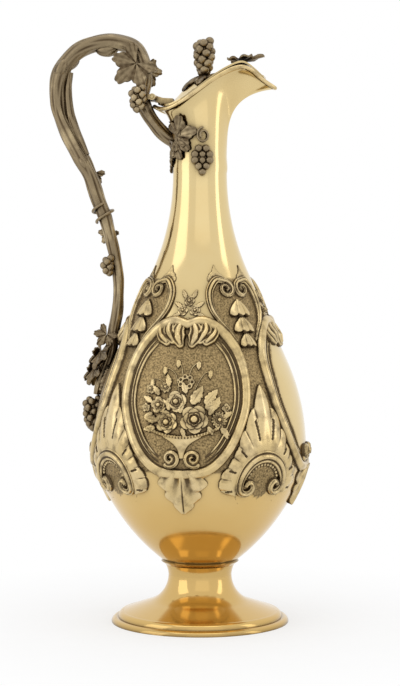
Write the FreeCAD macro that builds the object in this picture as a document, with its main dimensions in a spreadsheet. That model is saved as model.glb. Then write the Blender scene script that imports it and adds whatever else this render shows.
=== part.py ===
"""Gilt wine ewer: a pear body on a pedestal foot, a vine-branch handle and a hinged lid with a grape finial.

Millimetres, +Z up, origin on the body's axis under the foot, spout towards +X, handle towards -X.
"""
import math
import os

import FreeCAD
import Part
import Sketcher
from FreeCAD import Placement, Rotation, Vector

UP = Vector(0, 0, 1)
FORWARD = Vector(0, -1, 0)

# Driving dimensions
SIZES = {
    "foot_radius": 53.0,
    "foot_step_radius": 50.2,
    "foot_step_height": 3.0,
    "foot_rim_height": 6.5,
    "foot_skirt_radius": 45.7,
    "foot_wall": 1.4,
    "stem_radius": 18.9,
    "stem_height": 28.0,
    "stem_curve": 17.0,
    "foot_top_radius": 20.6,
    "foot_top_height": 34.0,
    "collar_radius": 23.2,
    "bowl_base_height": 37.0,
    "bowl_base_radius": 22.5,
    "belly_radius": 63.5,
    "belly_height": 104.0,
    "belly_curve": 48.0,
    "lower_curve": 120.0,
    "upper_curve": 125.0,
    "neck_curve": 145.0,
    "neck_radius": 16.2,
    "seam_height": 268.0,
    "wall": 1.4,
    "lip_reach": 44.0,
    "lip_rise": 49.5,
    "shoulder_reach": 28.0,
    "shoulder_half_width": 12.5,
    "shoulder_rise": 60.5,
    "mouth_half_width": 19.5,
    "mouth_low_rise": 36.5,
    "mouth_back": 26.3,
    "mouth_back_rise": 39.5,
    "bead_radius": 1.2,
    "relief": 3.2,
    "handle_reach": 88.0,
    "handle_rise": 80.0,
    "handle_end": 161.0,
    "branch_radius": 4.9,
    "hinge_reach": 27.8,
    "hinge_rise": 45.7,
    "knuckle_radius": 2.0,
    "knuckle_length": 5.2,
    "pin_radius": 0.9,
    "pin_play": 0.05,
    "lid_gap": 0.3,
    "lid_wall": 1.2,
    "dome_height": 9.5,
    "dome_radius": 19.0,
    "finial_reach": 2.5,
    "finial_height": 26.0,
    "finial_radius": 7.2,
    "grape_radius": 2.3,
    "stud_radius": 1.5,
    "nut_width": 6.5,
}

SEAT = 0.1
ROD_SIDES = 20
PANELS = ("front", "spout", "back", "handle")
PANEL_TURN = 360 / len(PANELS)
QUARTERS = {name: PANEL_TURN * (k - 1) for k, name in enumerate(PANELS)}
DIAGONALS = {
    "front_left": QUARTERS["front"] - PANEL_TURN / 2,
    "front_right": QUARTERS["front"] + PANEL_TURN / 2,
    "back_right": QUARTERS["back"] - PANEL_TURN / 2,
    "back_left": QUARTERS["back"] + PANEL_TURN / 2,
}


class Size(float):
    """A length that is a number and also the sheet expression it came from."""

    def __new__(cls, value, text):
        size = super().__new__(cls, value)
        size.text = text
        return size

    def join(self, other, sign, value):
        other_text = other.text if isinstance(other, Size) else repr(float(other))
        return Size(value, f"({self.text} {sign} {other_text})")

    def __add__(self, other):
        return self.join(other, "+", float(self) + float(other))

    def __sub__(self, other):
        return self.join(other, "-", float(self) - float(other))

    def __mul__(self, other):
        return self.join(other, "*", float(self) * float(other))


doc = FreeCAD.newDocument("ewer")
sheet = doc.addObject("Spreadsheet::Sheet", "Sizes")
for row, (alias, number) in enumerate(SIZES.items(), start=1):
    sheet.set(f"A{row}", alias)
    sheet.set(f"B{row}", str(number))
    sheet.setAlias(f"B{row}", alias)
doc.recompute()


def size(alias):
    return Size(sheet.get(alias), f"Sizes.{alias}")


# Document helpers
def add_shape(label, solids, turn=0):
    """A document object that holds one solid, or a group of separate solids."""
    feature = doc.addObject("Part::Feature", label)
    feature.Label = label
    feature.Shape = solids[0] if len(solids) == 1 else Part.makeCompound(solids)
    feature.Placement = Placement(Vector(), Rotation(UP, turn))
    return feature


def add_part(kind, label, bound, position=Vector(), turn=Rotation()):
    """A primitive whose named properties are bound to the sheet."""
    part = doc.addObject(kind, label)
    for name, value in bound.items():
        setattr(part, name, float(value))
        part.setExpression(name, value.text)
    part.Placement = Placement(position, turn)
    return part


def add_sketch(body, name, plane):
    sketch = body.newObject("Sketcher::SketchObject", name)
    origin = [feature for feature in body.Origin.OriginFeatures if feature.Role == plane]
    sketch.AttachmentSupport = [(origin[0], "")]
    sketch.MapMode = "FlatFace"
    return sketch


def dimension(sketch, kind, where, value):
    """One driving dimension of a sketch, bound to the sheet."""
    index = sketch.addConstraint(Sketcher.Constraint(kind, *where, float(value)))
    if isinstance(value, Size):
        sketch.setExpression(f"Constraints[{index}]", value.text)


def add_arc(sketch, start, through, end):
    """An arc by three points; gives its number and the positions of its start and end."""
    turn = (through - start).cross(end - start).z
    ordered = (start, through, end) if turn > 0 else (end, through, start)
    number = sketch.addGeometry(Part.Arc(*ordered))
    return (number, 1, 2) if turn > 0 else (number, 2, 1)


def arc_middle(start, end, radius):
    """The middle point of the arc between two points; a negative radius bulges to the right of the way."""
    chord = end - start
    rise = abs(radius) - math.sqrt(max(radius * radius - chord.Length ** 2 / 4, 0.0))
    aside = Vector(-chord.y, chord.x, 0).normalize()
    return (start + end) * 0.5 + aside * (rise if radius > 0 else -rise)


def revolved_body(label, corners, arcs):
    """A turned piece: corners are (radius, height) pairs, arcs give a bulge radius for some of the sides."""
    body = doc.addObject("PartDesign::Body", label)
    sketch = add_sketch(body, f"{label}_profile", "XZ_Plane")
    points = [Vector(float(x), float(y), 0) for x, y in corners]
    pieces = []
    for k, start in enumerate(points):
        end = points[(k + 1) % len(points)]
        if k in arcs:
            bulge = float(arcs[k][0]) * arcs[k][1]
            pieces.append(add_arc(sketch, start, arc_middle(start, end, bulge), end))
            dimension(sketch, "Radius", (pieces[-1][0],), arcs[k][0])
        else:
            pieces.append((sketch.addGeometry(Part.LineSegment(start, end)), 1, 2))
    for k, (number, first, last) in enumerate(pieces):
        following = pieces[(k + 1) % len(pieces)]
        sketch.addConstraint(Sketcher.Constraint("Coincident", number, last, following[0], following[1]))
        for kind, value in zip(("DistanceX", "DistanceY"), corners[k]):
            if isinstance(value, Size):
                dimension(sketch, kind, (-1, 1, number, first), value)
            else:
                sketch.addConstraint(
                    Sketcher.Constraint("PointOnObject", number, first, -2 if kind == "DistanceX" else -1)
                )
    turned = body.newObject("PartDesign::Revolution", f"{label}_turn")
    turned.Profile = sketch
    turned.ReferenceAxis = (sketch, ["V_Axis"])
    turned.Angle = 360
    body.Tip = turned
    doc.recompute()
    return body


# Curves and solids from formulas
def spline(points, first_way=None, last_way=None):
    """A smooth curve through points, with set directions at its ends where those are given."""
    curve = Part.BSplineCurve()
    points = [Vector(*point) for point in points]
    if first_way:
        curve.interpolate(Points=points, InitialTangent=first_way, FinalTangent=last_way, Scale=False)
    else:
        curve.interpolate(Points=points)
    return curve


def steps(first, last, count):
    return [first + (last - first) * k / (count - 1) for k in range(count)]


def along(curve, count):
    """Points at even distances along a curve."""
    return curve.discretize(Number=count)


def surface(rows):
    patch = Part.BSplineSurface()
    patch.interpolate(rows)
    return patch


def solid_between(top_rows, bottom_rows, closed=False):
    """The solid between two grids of points; closed ones come round to their first column again."""
    top, bottom = surface(top_rows), surface(bottom_rows)
    faces = [top.toShape(), bottom.toShape()]
    first_u, last_u, first_v, last_v = top.bounds()
    under = bottom.bounds()
    for value, below in ((first_u, under[0]), (last_u, under[1])):
        faces.append(Part.makeRuledSurface(top.uIso(value).toShape(), bottom.uIso(below).toShape()))
    if not closed:
        for value, below in ((first_v, under[2]), (last_v, under[3])):
            faces.append(Part.makeRuledSurface(top.vIso(value).toShape(), bottom.vIso(below).toShape()))
    return solid_from(faces)


def solid_from(faces):
    skin = Part.makeCompound(faces)
    skin.sewShape()
    solid = Part.makeSolid(skin.Shells[0])
    if solid.Volume < 0:
        solid.reverse()
    return solid


def rod(points, radii, ribs, rib_depth, twist):
    """A ribbed rod with flat ends along points that stay near the plane of spout and handle."""
    rings = []
    for k, point in enumerate(points):
        ahead = (points[min(k + 1, len(points) - 1)] - points[max(k - 1, 0)]).normalize()
        across = (FORWARD - ahead * ahead.dot(FORWARD)).normalize()
        upward = ahead.cross(across)
        ring = []
        for turn in steps(0, 2 * math.pi, ROD_SIDES + 1):
            reach = radii[k] * (1 + rib_depth * math.cos(ribs * turn + twist * k))
            ring.append(point + across * (reach * math.cos(turn)) + upward * (reach * math.sin(turn)))
        rings.append(ring[:-1] + ring[:1])
    side = surface(rings)
    first_end, last_end = side.bounds()[:2]
    ends = [Part.Face(Part.Wire([side.uIso(end).toShape()])) for end in (first_end, last_end)]
    return solid_from([side.toShape()] + ends)


def largest(shape):
    return max(shape.Solids, key=lambda solid: solid.Volume)


def doubled(half):
    """A half piece joined to its mirror image across the plane through the axis."""
    return half.fuse(half.mirror(Vector(), Vector(0, 1, 0))).removeSplitter()


def wire_rod(points, radius, first_way=None, last_way=None):
    """A wire of even thickness bent along points."""
    path = spline(points, first_way, last_way)
    start, heading = path.value(path.FirstParameter), path.tangent(path.FirstParameter)[0]
    section = Part.Wire([Part.makeCircle(radius, start, heading)])
    return Part.Wire([path.toShape()]).makePipeShell([section], True, True)


def grape_bunch(centre, top_radius, height, radius, count):
    """Grapes on a spindle that narrows downwards, each one sunk into its neighbours."""
    golden = math.radians(137.5)
    grapes = []
    for k in range(count):
        down = (k + 0.5) / count
        reach = top_radius * math.sqrt(max(1 - (1.9 * down - 0.75) ** 2 / 1.4, 0.04))
        spot = Vector(reach * math.cos(k * golden), reach * math.sin(k * golden), height * (0.5 - down))
        grape = Part.makeSphere(radius)
        grape.rotate(Vector(), Vector(1, 2, 3), 37 * k)
        grape.translate(centre + spot)
        grapes.append(grape)
    core = Part.makeCylinder(0.6 * top_radius, 0.8 * height, centre - UP * (0.4 * height))
    return core.multiFuse(grapes).removeSplitter()


def vine_leaf(base, heading, facing, length, curl, thickness=1.1):
    """A five-lobed leaf that spreads from the end of its stalk."""
    heading = Vector(heading).normalize()
    facing = (facing - heading * facing.dot(heading)).normalize()
    side = facing.cross(heading)
    top, bottom = [], []
    for degrees in steps(-140, 140, 33):
        turn = math.radians(degrees)
        lobe = math.cos(math.radians(3 * degrees)) ** 2
        reach = length * (0.6 + 0.4 * lobe) * (1 - 0.3 * abs(degrees) / 140)
        line = []
        for part in steps(0.12, 1, 5):
            far = reach * part
            bend = curl * far * far / length + 0.5 * lobe * part
            line.append(
                base + heading * (far * math.cos(turn)) + side * (far * math.sin(turn)) + facing * bend
            )
        top.append([point + facing * (thickness / 2) for point in line])
        bottom.append([point - facing * (thickness / 2) for point in line])
    return solid_between(top, bottom)


# Bowl: a pear outline of four arcs and one straight line, turned and hollowed
belly_radius, belly_height = size("belly_radius"), size("belly_height")
belly_curve, lower_curve = size("belly_curve"), size("lower_curve")
upper_curve, neck_curve = size("upper_curve"), size("neck_curve")
neck_radius, seam_height = size("neck_radius"), size("seam_height")
base_radius, base_height = size("bowl_base_radius"), size("bowl_base_height")
wall = size("wall")

upper_centre = Vector(belly_radius - upper_curve, belly_height, 0)
neck_centre = Vector(neck_radius + neck_curve, seam_height, 0)
belly_centre = Vector(belly_radius - belly_curve, belly_height, 0)
reach_between = neck_centre - upper_centre
lean = math.atan2(reach_between.y, reach_between.x) - math.acos(
    min((upper_curve + neck_curve) / reach_between.Length, 1.0)
)
lean_way = Vector(math.cos(lean), math.sin(lean), 0)
straight_start = upper_centre + lean_way * float(upper_curve)
straight_end = neck_centre - lean_way * float(neck_curve)


def lower_join():
    """The angle at which the belly's arc runs into the flatter lower one, found by halving."""
    base = Vector(base_radius, base_height, 0)
    low, high = 0.0, math.radians(60)
    for _ in range(60):
        middle = (low + high) / 2
        way = Vector(math.cos(middle), -math.sin(middle), 0)
        centre = belly_centre - way * (lower_curve - belly_curve)
        if (base - centre).Length < lower_curve:
            low = middle
        else:
            high = middle
    return way, centre


join_way, lower_centre = lower_join()
lower_end = belly_centre + join_way * float(belly_curve)


def bowl_radius(height):
    """The bowl's outer radius at a height."""
    if height >= straight_end.y:
        return neck_centre.x - math.sqrt(max(neck_curve ** 2 - (height - neck_centre.y) ** 2, 0.0))
    if height >= straight_start.y:
        share = (height - straight_start.y) / (straight_end.y - straight_start.y)
        return straight_start.x + (straight_end.x - straight_start.x) * share
    if height >= belly_height:
        return upper_centre.x + math.sqrt(upper_curve ** 2 - (height - upper_centre.y) ** 2)
    if height >= lower_end.y:
        return belly_centre.x + math.sqrt(max(belly_curve ** 2 - (height - belly_centre.y) ** 2, 0.0))
    return lower_centre.x + math.sqrt(max(lower_curve ** 2 - (height - lower_centre.y) ** 2, 0.0))


def bowl_normal(degrees, height):
    slope = (bowl_radius(height + 0.1) - bowl_radius(height - 0.1)) / 0.2
    turn = math.radians(degrees)
    return Vector(math.cos(turn), math.sin(turn), -slope).normalize()


def bowl_point(degrees, height, lift):
    turn = math.radians(degrees)
    radius = bowl_radius(height)
    surface_point = Vector(radius * math.cos(turn), radius * math.sin(turn), height)
    return surface_point + bowl_normal(degrees, height) * lift


def make_bowl():
    body = doc.addObject("PartDesign::Body", "bowl_shell")
    sketch = add_sketch(body, "bowl_profile", "XZ_Plane")
    bottom = Vector(0, base_height, 0)
    base = Vector(base_radius, base_height, 0)
    belly = Vector(belly_radius, belly_height, 0)
    top = Vector(neck_radius, seam_height, 0)

    def arc(start, end, centre, radius):
        middle = (start + end) * 0.5 - centre
        return add_arc(sketch, start, centre + middle.normalize() * float(radius), end)

    floor = (sketch.addGeometry(Part.LineSegment(bottom, base)), 1, 2)
    lower = arc(base, lower_end, lower_centre, lower_curve)
    round_belly = arc(lower_end, belly, belly_centre, belly_curve)
    upper = arc(belly, straight_start, upper_centre, upper_curve)
    straight = (sketch.addGeometry(Part.LineSegment(straight_start, straight_end)), 1, 2)
    hollow = arc(straight_end, top, neck_centre, neck_curve)
    lid_line = (sketch.addGeometry(Part.LineSegment(top, Vector(0, seam_height, 0))), 1, 2)
    axis = (sketch.addGeometry(Part.LineSegment(Vector(0, seam_height, 0), bottom)), 1, 2)
    for one, two in ((floor, lower), (hollow, lid_line), (lid_line, axis), (axis, floor)):
        sketch.addConstraint(Sketcher.Constraint("Coincident", one[0], one[2], two[0], two[1]))
    for one, two in ((lower, round_belly), (round_belly, upper), (upper, straight), (straight, hollow)):
        sketch.addConstraint(Sketcher.Constraint("Tangent", one[0], one[2], two[0], two[1]))
    for level in (floor, lid_line):
        sketch.addConstraint(Sketcher.Constraint("Horizontal", level[0]))
    for on_axis in (axis[1], axis[2]):
        sketch.addConstraint(Sketcher.Constraint("PointOnObject", axis[0], on_axis, -2))
    for number, radius in (
        (lower, lower_curve), (round_belly, belly_curve), (upper, upper_curve), (hollow, neck_curve)
    ):
        dimension(sketch, "Radius", (number[0],), radius)
    dimension(sketch, "DistanceX", (-1, 1, lower[0], lower[1]), base_radius)
    dimension(sketch, "DistanceY", (-1, 1, lower[0], lower[1]), base_height)
    dimension(sketch, "DistanceX", (-1, 1, upper[0], upper[1]), belly_radius)
    dimension(sketch, "DistanceY", (-1, 1, upper[0], upper[1]), belly_height)
    dimension(sketch, "DistanceY", (-1, 1, upper[0], 3), belly_height)
    dimension(sketch, "DistanceX", (-1, 1, hollow[0], hollow[2]), neck_radius)
    dimension(sketch, "DistanceY", (-1, 1, hollow[0], hollow[2]), seam_height)
    dimension(sketch, "DistanceY", (-1, 1, hollow[0], 3), seam_height)
    turned = body.newObject("PartDesign::Revolution", "bowl_turn")
    turned.Profile = sketch
    turned.ReferenceAxis = (sketch, ["V_Axis"])
    turned.Angle = 360
    doc.recompute()
    whole = turned.Shape.copy()
    top_faces = [k for k, face in enumerate(whole.Faces, start=1) if face.CenterOfMass.z > seam_height - 0.01]
    hollowed = body.newObject("PartDesign::Thickness", "bowl_wall")
    hollowed.Base = (turned, [f"Face{top_faces[0]}"])
    hollowed.setExpression("Value", wall.text)
    hollowed.Reversed = True
    hollowed.Join = 1
    body.Tip = hollowed
    doc.recompute()
    return whole


bowl_whole = make_bowl()

# Foot: a trumpet shell, its stepped rim and the ring under the bowl
foot_radius, foot_wall = size("foot_radius"), size("foot_wall")
step_radius, step_height = size("foot_step_radius"), size("foot_step_height")
rim_height, skirt_radius = size("foot_rim_height"), size("foot_skirt_radius")
stem_radius, stem_height, stem_curve = size("stem_radius"), size("stem_height"), size("stem_curve")
foot_top_radius, foot_top_height = size("foot_top_radius"), size("foot_top_height")
collar_radius = size("collar_radius")


def make_foot():
    flare_radius = stem_radius + stem_curve * 0.7
    flare_height = stem_height - stem_curve * 0.954
    inner_curve = stem_curve + foot_wall
    revolved_body(
        "foot_pedestal",
        [
            (skirt_radius, 0.0),
            (skirt_radius, rim_height),
            (flare_radius, flare_height),
            (stem_radius, stem_height),
            (foot_top_radius, foot_top_height),
            (foot_top_radius - foot_wall, foot_top_height),
            (stem_radius - foot_wall, stem_height),
            (flare_radius - foot_wall * 0.3, flare_height - foot_wall),
            (skirt_radius - foot_wall, rim_height - foot_wall),
            (skirt_radius - foot_wall, 0.0),
        ],
        {2: (stem_curve, 1), 3: (stem_curve, 1), 5: (inner_curve, -1), 6: (inner_curve, -1)},
    )
    ledge = step_radius - 1.2
    revolved_body(
        "foot_moulding",
        [
            (skirt_radius, 0.0),
            (foot_radius, 0.0),
            (step_radius, step_height),
            (ledge, step_height),
            (skirt_radius, rim_height),
        ],
        {1: (step_height, -1), 3: (rim_height - step_height, -1)},
    )
    revolved_body(
        "foot_collar",
        [
            (foot_top_radius - foot_wall * 2, foot_top_height),
            (foot_top_radius, foot_top_height),
            (collar_radius, base_height - 1.0),
            (base_radius, base_height),
            (foot_top_radius - foot_wall * 2, base_height),
        ],
        {},
    )


make_foot()

# Neck, flared from the round seam to the shaped mouth
lip_reach, lip_height = size("lip_reach"), seam_height + size("lip_rise")
shoulder_reach, shoulder_half = size("shoulder_reach"), size("shoulder_half_width")
shoulder_height, mouth_half = seam_height + size("shoulder_rise"), size("mouth_half_width")
low_height, mouth_back = seam_height + size("mouth_low_rise"), size("mouth_back")
back_height, bead_radius = seam_height + size("mouth_back_rise"), size("bead_radius")
mouth_rise = shoulder_height - low_height

HALF_MOUTH = [
    (-mouth_back, 0.0, back_height),
    (-0.68 * mouth_back, 0.74 * mouth_half, low_height),
    (-0.15 * mouth_back, float(mouth_half), low_height + mouth_rise * 0.23),
    (0.43 * shoulder_reach, 0.9 * mouth_half, low_height + mouth_rise * 0.72),
    (float(shoulder_reach), float(shoulder_half), shoulder_height),
    (0.87 * lip_reach, 0.44 * shoulder_half, lip_height + (shoulder_height - lip_height) * 0.33),
    (float(lip_reach), 0.0, lip_height),
]
EDGE_STEPS = 48
half_edge = along(spline(HALF_MOUTH, -FORWARD, FORWARD), EDGE_STEPS // 2 + 1)
edge_points = half_edge + [Vector(edge.x, -edge.y, edge.z) for edge in half_edge[-2:0:-1]]


def flare(edge, rise):
    """A point on the neck between the round seam and a point of the mouth's edge; rise runs 0 to 1."""
    turn = math.atan2(edge.y, edge.x)
    reach = neck_radius + (math.hypot(edge.x, edge.y) - neck_radius) * rise ** 3.7
    height = seam_height + (edge.z - seam_height) * (1 - (1 - rise) ** 1.5)
    return Vector(reach * math.cos(turn), reach * math.sin(turn), height)


def neck_ways(k, rise):
    """The directions along the edge and up the wall at step k of the mouth."""
    left, right = edge_points[k - 1], edge_points[(k + 1) % EDGE_STEPS]
    along_edge = flare(right, rise) - flare(left, rise)
    up_wall = flare(edge_points[k], min(rise + 0.04, 1.0)) - flare(edge_points[k], max(rise - 0.04, 0.0))
    return along_edge.normalize(), up_wall.normalize()


def neck_inward(k, rise):
    along_edge, up_wall = neck_ways(k, rise)
    return along_edge.cross(up_wall).normalize()


def make_neck():
    closed_edge = edge_points + [edge_points[0]]
    outer, inner = [], []
    for rise in steps(0, 1, 10):
        outer.append([flare(edge, rise) for edge in closed_edge])
        inner.append([
            flare(edge, rise) + neck_inward(k % EDGE_STEPS, rise) * float(wall) for k, edge in enumerate(closed_edge)
        ])
    inner[0] = [Vector(point.x, point.y, seam_height) for point in inner[0]]
    return solid_between(outer, inner, closed=True)


add_shape("neck_and_spout", [make_neck()])


def make_bead():
    """A round wire that sits on the cut edge of the neck and follows it right round."""
    middles = []
    for k, edge in enumerate(half_edge):
        along_edge, up_wall = neck_ways(k, 1.0)
        away = (up_wall - along_edge * up_wall.dot(along_edge)).normalize()
        middles.append(edge + neck_inward(k, 1.0) * (wall / 2) + away * (bead_radius + 2 * SEAT))
    return doubled(wire_rod(middles, bead_radius, -FORWARD, FORWARD))


add_shape("mouth_moulding", [make_bead()])


# Relief on the bowl: angles are degrees from the piece's own centre line
relief = size("relief")


def relief_plate(rows):
    """A raised plate; each row is a line of (degrees, height, lift) spots on the bowl."""
    top = [[bowl_point(turn, height, SEAT + lift) for turn, height, lift in line] for line in rows]
    bottom = [[bowl_point(turn, height, SEAT) for turn, height, lift in line] for line in rows]
    return solid_between(top, bottom)


def band_frame(path, k, closed=False):
    """Middle, outward and sideways directions of a scroll at step k of its path."""
    last = len(path) - 1
    before = path[(k - 1) % len(path)] if closed else path[max(k - 1, 0)]
    after = path[(k + 1) % len(path)] if closed else path[min(k + 1, last)]
    out = bowl_normal(*path[k])
    heading = bowl_point(*after, SEAT) - bowl_point(*before, SEAT)
    return bowl_point(*path[k], SEAT), out, out.cross(heading).normalize()


def scroll(path, widths, lifts):
    """A scroll of bowed section along (degrees, height) spots on the bowl."""
    wires = []
    for k in range(len(path)):
        middle, out, side = band_frame(path, k)
        left, right = middle - side * widths[k], middle + side * widths[k]
        bow = Part.Arc(left, middle + out * lifts[k], right).toShape()
        wires.append(Part.Wire([bow, Part.makeLine(right, left)]))
    return Part.makeLoft(wires, True, False)


def spiral(centre, reach, inner, start, turns, count):
    """Spots of a curl from its outside to its eye, (degrees, height) with the reach in mm."""
    spots = []
    for share in steps(0, 1, count):
        turn = math.radians(start + 360 * turns * share)
        far = reach + (inner - reach) * share
        height = centre[1] + far * math.sin(turn)
        across = math.degrees(far * math.cos(turn) / bowl_radius(centre[1]))
        spots.append((centre[0] + across, height))
    return spots


def mirrored(path):
    return [(-turn, height) for turn, height in path]


# Cartouche frames, with their crests and curled feet
FRAME_HALF = [
    (0, 178), (12, 180), (25, 174.5), (34.5, 163), (36.8, 149),
    (35, 133), (29.5, 118), (22.5, 105), (13, 96), (0, 93.8),
]
FRAME_STEPS = 33
FRAME_ROLL = 2.7
FRAME_LIP = 0.3
FRAME_PLAIN = 16


def make_frame():
    """Half of a moulding: a round outer roll, then a groove and a thin inner bead along the side."""
    across = Vector(1, 0, 0)
    outline = spline([(x, y, 0) for x, y in FRAME_HALF], across, -across)
    half = [(point.x, point.y) for point in along(outline, FRAME_STEPS)]
    path = half + mirrored(half[-2:0:-1])
    wires = []
    for k in range(FRAME_STEPS):
        middle, out, side = band_frame(path, k, closed=True)
        open_side = min(max((path[k][0] - FRAME_PLAIN) / 12, 0.0), 1.0)
        groove, bead = 0.5 + 1.8 * open_side, 0.5 + 1.0 * open_side
        inner_line = FRAME_ROLL + groove
        points = [middle - side * reach + out * lift for reach, lift in (
            (-FRAME_ROLL, 0), (0, float(relief)), (FRAME_ROLL, 2 * FRAME_LIP), (inner_line, 2 * FRAME_LIP),
            (inner_line + bead / 2, 3 * FRAME_LIP + 0.7 * open_side), (inner_line + bead, 0),
        )]
        wires.append(Part.Wire([
            Part.Arc(*points[0:3]).toShape(),
            Part.makeLine(points[2], points[3]),
            Part.Arc(*points[3:6]).toShape(),
            Part.makeLine(points[5], points[0]),
        ]))
    return Part.makeLoft(wires, True, False)


def make_crest():
    """Gadroon lobes that hang from the frame's top, four each side."""
    lobes = []
    for turn, height, swing in ((4.5, 173, -6), (11.5, 173.2, 2), (18.5, 171.3, 10), (25, 167.4, 22)):
        for sign in (-1, 1):
            path = []
            for share in steps(0, 1, 5):
                across = turn + math.sin(math.radians(swing)) * 8 * (0.5 - share)
                path.append((sign * across, height + 4.2 - 8.4 * share))
            lobes.append(scroll(path, [1.3, 2.2, 2.4, 2.0, 0.8], [1.4, 2.8, 3.2, 2.6, 1.0]))
    return lobes


def make_volutes():
    curls = []
    path = spiral((5.8, 103.0), 4.4, 1.6, -60, -1.2, 22)
    widths = steps(1.25, 0.9, len(path))
    lifts = steps(2.0, 3.4, len(path))
    for side in (path, mirrored(path)):
        curls.append(scroll(side, widths, lifts))
    return curls


def turned_copies(solids, turns):
    copies = []
    for turn in turns:
        for solid in solids:
            copy = solid.copy()
            copy.rotate(Vector(), UP, turn)
            copies.append(copy)
    return copies


half_frame = make_frame()
for name, turn in QUARTERS.items():
    add_shape(f"cartouche_frame_{name}", [half_frame, half_frame.mirror(Vector(), Vector(0, 1, 0))], turn)
add_shape("cartouche_crests", turned_copies(make_crest(), QUARTERS.values()))
add_shape("cartouche_volutes", turned_copies(make_volutes(), QUARTERS.values()))


def dome(degrees, height, radius):
    """A rounded flower head that stands out of the bowl."""
    ball = Part.makeSphere(radius)
    ball.rotate(Vector(), Vector(1, 2, 3), 37)
    ball.translate(bowl_point(degrees, height, -0.35 * radius))
    return ball.cut(bowl_whole)


BASKET_FLOWERS = [
    (7, 124.8, 4.9), (-6.5, 123.8, 4.9), (18.5, 125, 3.6), (-13, 133, 3.6), (-3.2, 135, 4.6),
    (-17, 124.3, 3.1), (1.5, 146.3, 4.0), (10.5, 139.5, 3.6), (18, 133.5, 3.0), (-6.8, 147, 2.4),
    (-19.5, 141.5, 2.4),
]


def make_basket():
    rows = []
    for turn in steps(-18, 18, 13):
        rim = 114.6 + 4.6 * (turn / 18) ** 2
        depth = 5.5 * (1 - (turn / 18.5) ** 2) + 0.8
        rows.append([(turn, rim - depth * part, 2.4 - 0.9 * part) for part in (0, 0.35, 0.7, 1)])
    tray = relief_plate(rows)
    return [tray] + [dome(*flower) for flower in BASKET_FLOWERS]


basket = make_basket()
for name in ("front", "back"):
    add_shape(f"flower_basket_{name}", basket, QUARTERS[name])

spray = [dome(-4.8, 186, 2.7), dome(4.8, 186, 2.7), dome(0, 192.5, 2.6)]
add_shape("flower_sprays", turned_copies(spray, QUARTERS.values()))

# Shells on the diagonals, over a scroll arch
ARCH_CENTRE = 88.0
ARCH_REACH = 15.2
SHELL_EDGE = spline([
    (-112, 22, 0), (-98, 27.3, 0), (-82, 27.8, 0), (-62, 25.4, 0), (-42, 27, 0), (-21, 35, 0),
    (-7.5, 45, 0), (0, 56, 0), (7.5, 45, 0), (21, 35, 0), (42, 27, 0), (62, 25.4, 0),
    (82, 27.8, 0), (98, 27.3, 0), (112, 22, 0),
])


def make_shell():
    rows = []
    for spot in along(SHELL_EDGE, 45):
        turn = math.radians(spot.x)
        flute = math.cos(math.radians(spot.x * 8)) ** 2
        line = []
        for part in steps(0, 1, 6):
            far = 19.4 + (spot.y - 19.4) * part
            height = ARCH_CENTRE + far * math.cos(turn)
            across = math.degrees(far * math.sin(turn) / bowl_radius(height))
            line.append((across, height, 1.0 + (0.5 + 1.1 * flute) * math.sin(math.pi * (0.15 + 0.75 * part))))
        rows.append(line)
    return relief_plate(rows)


def make_arch():
    """A scroll over the top that curls in at both ends."""
    path = []
    for turn in steps(184, 90, 13):
        height = ARCH_CENTRE + ARCH_REACH * math.sin(math.radians(turn))
        across = math.degrees(ARCH_REACH * math.cos(math.radians(turn)) / bowl_radius(height))
        path.append((across, height))
    curl = spiral((-math.degrees(9.6 / bowl_radius(ARCH_CENTRE)), ARCH_CENTRE - 1.5), 5.0, 2.4, 190, 0.62, 10)
    half = curl[::-1] + path[1:]
    whole = half + mirrored(half[-2::-1])
    widths = [1.4 + 2.2 * min(k / 14, 1) for k in range(len(half))]
    lifts = [2.4 + 0.8 * min(k / 14, 1) for k in range(len(half))]
    return scroll(whole, widths + widths[-2::-1], lifts + lifts[-2::-1])


shell = make_shell()
arch = make_arch()
for name, turn in DIAGONALS.items():
    add_shape(f"shell_{name}", [shell], turn)
add_shape("shell_arches", turned_copies([arch], DIAGONALS.values()))


# Leaves that hang under the frames
def make_leaf_drop():
    rows = []
    for part in steps(-1, 1, 13):
        line = []
        for down in steps(0, 1, 12):
            height = 90.4 - 17.6 * down
            half = 15.5 * (1 - down ** 1.6) * (1 + 0.1 * math.cos(down * 5 * math.pi)) + 0.5
            lift = 0.7 + 1.5 * (1 - part * part) * math.sin(math.pi * (0.25 + 0.6 * down))
            line.append((half * part, height, lift))
        rows.append(line)
    return relief_plate(rows)


leaf_drop = make_leaf_drop()
for name, turn in QUARTERS.items():
    add_shape(f"leaf_drop_{name}", [leaf_drop], turn)


# Scroll straps and bell flowers on the shoulder
def make_strap():
    sweep = spline([
        (-12.5, 203.2, 0), (-19.5, 203.2, 0), (-26.5, 196.5, 0), (-25.8, 188, 0), (-20.5, 180.5, 0),
        (-12.5, 173.5, 0), (-8.8, 169, 0),
    ])
    curl = spiral((-9.5, 198.2), 4.6, 1.6, 95, -1.0, 18)
    path = curl[::-1] + [(spot.x, spot.y) for spot in along(sweep, 20)]
    count = len(path)
    widths = [1.0 + 0.9 * math.sin(math.pi * min(k / (count - 1) + 0.12, 0.93)) for k in range(count)]
    return scroll(path, widths, [1.5 * width for width in widths])


def make_bells():
    bells = []
    for top, tall, half in ((191.5, 8.6, 10.0), (181.9, 8.4, 9.0), (172.6, 7.4, 6.6)):
        rows = []
        for part in steps(-1, 1, 13):
            line = []
            for down in steps(0, 1, 7):
                petal = 0.8 * abs(math.cos(1.5 * math.pi * part)) * down
                spread = half * (0.3 + 0.7 * math.sin(math.pi / 2 * min(1.15 * down, 1)))
                lift = 0.8 + 2.4 * math.sqrt(1.02 - part * part) * (0.45 + 0.55 * down)
                line.append((spread * part, top - tall * down - petal, lift))
            rows.append(line)
        bells.append(relief_plate(rows))
    return bells


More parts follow.
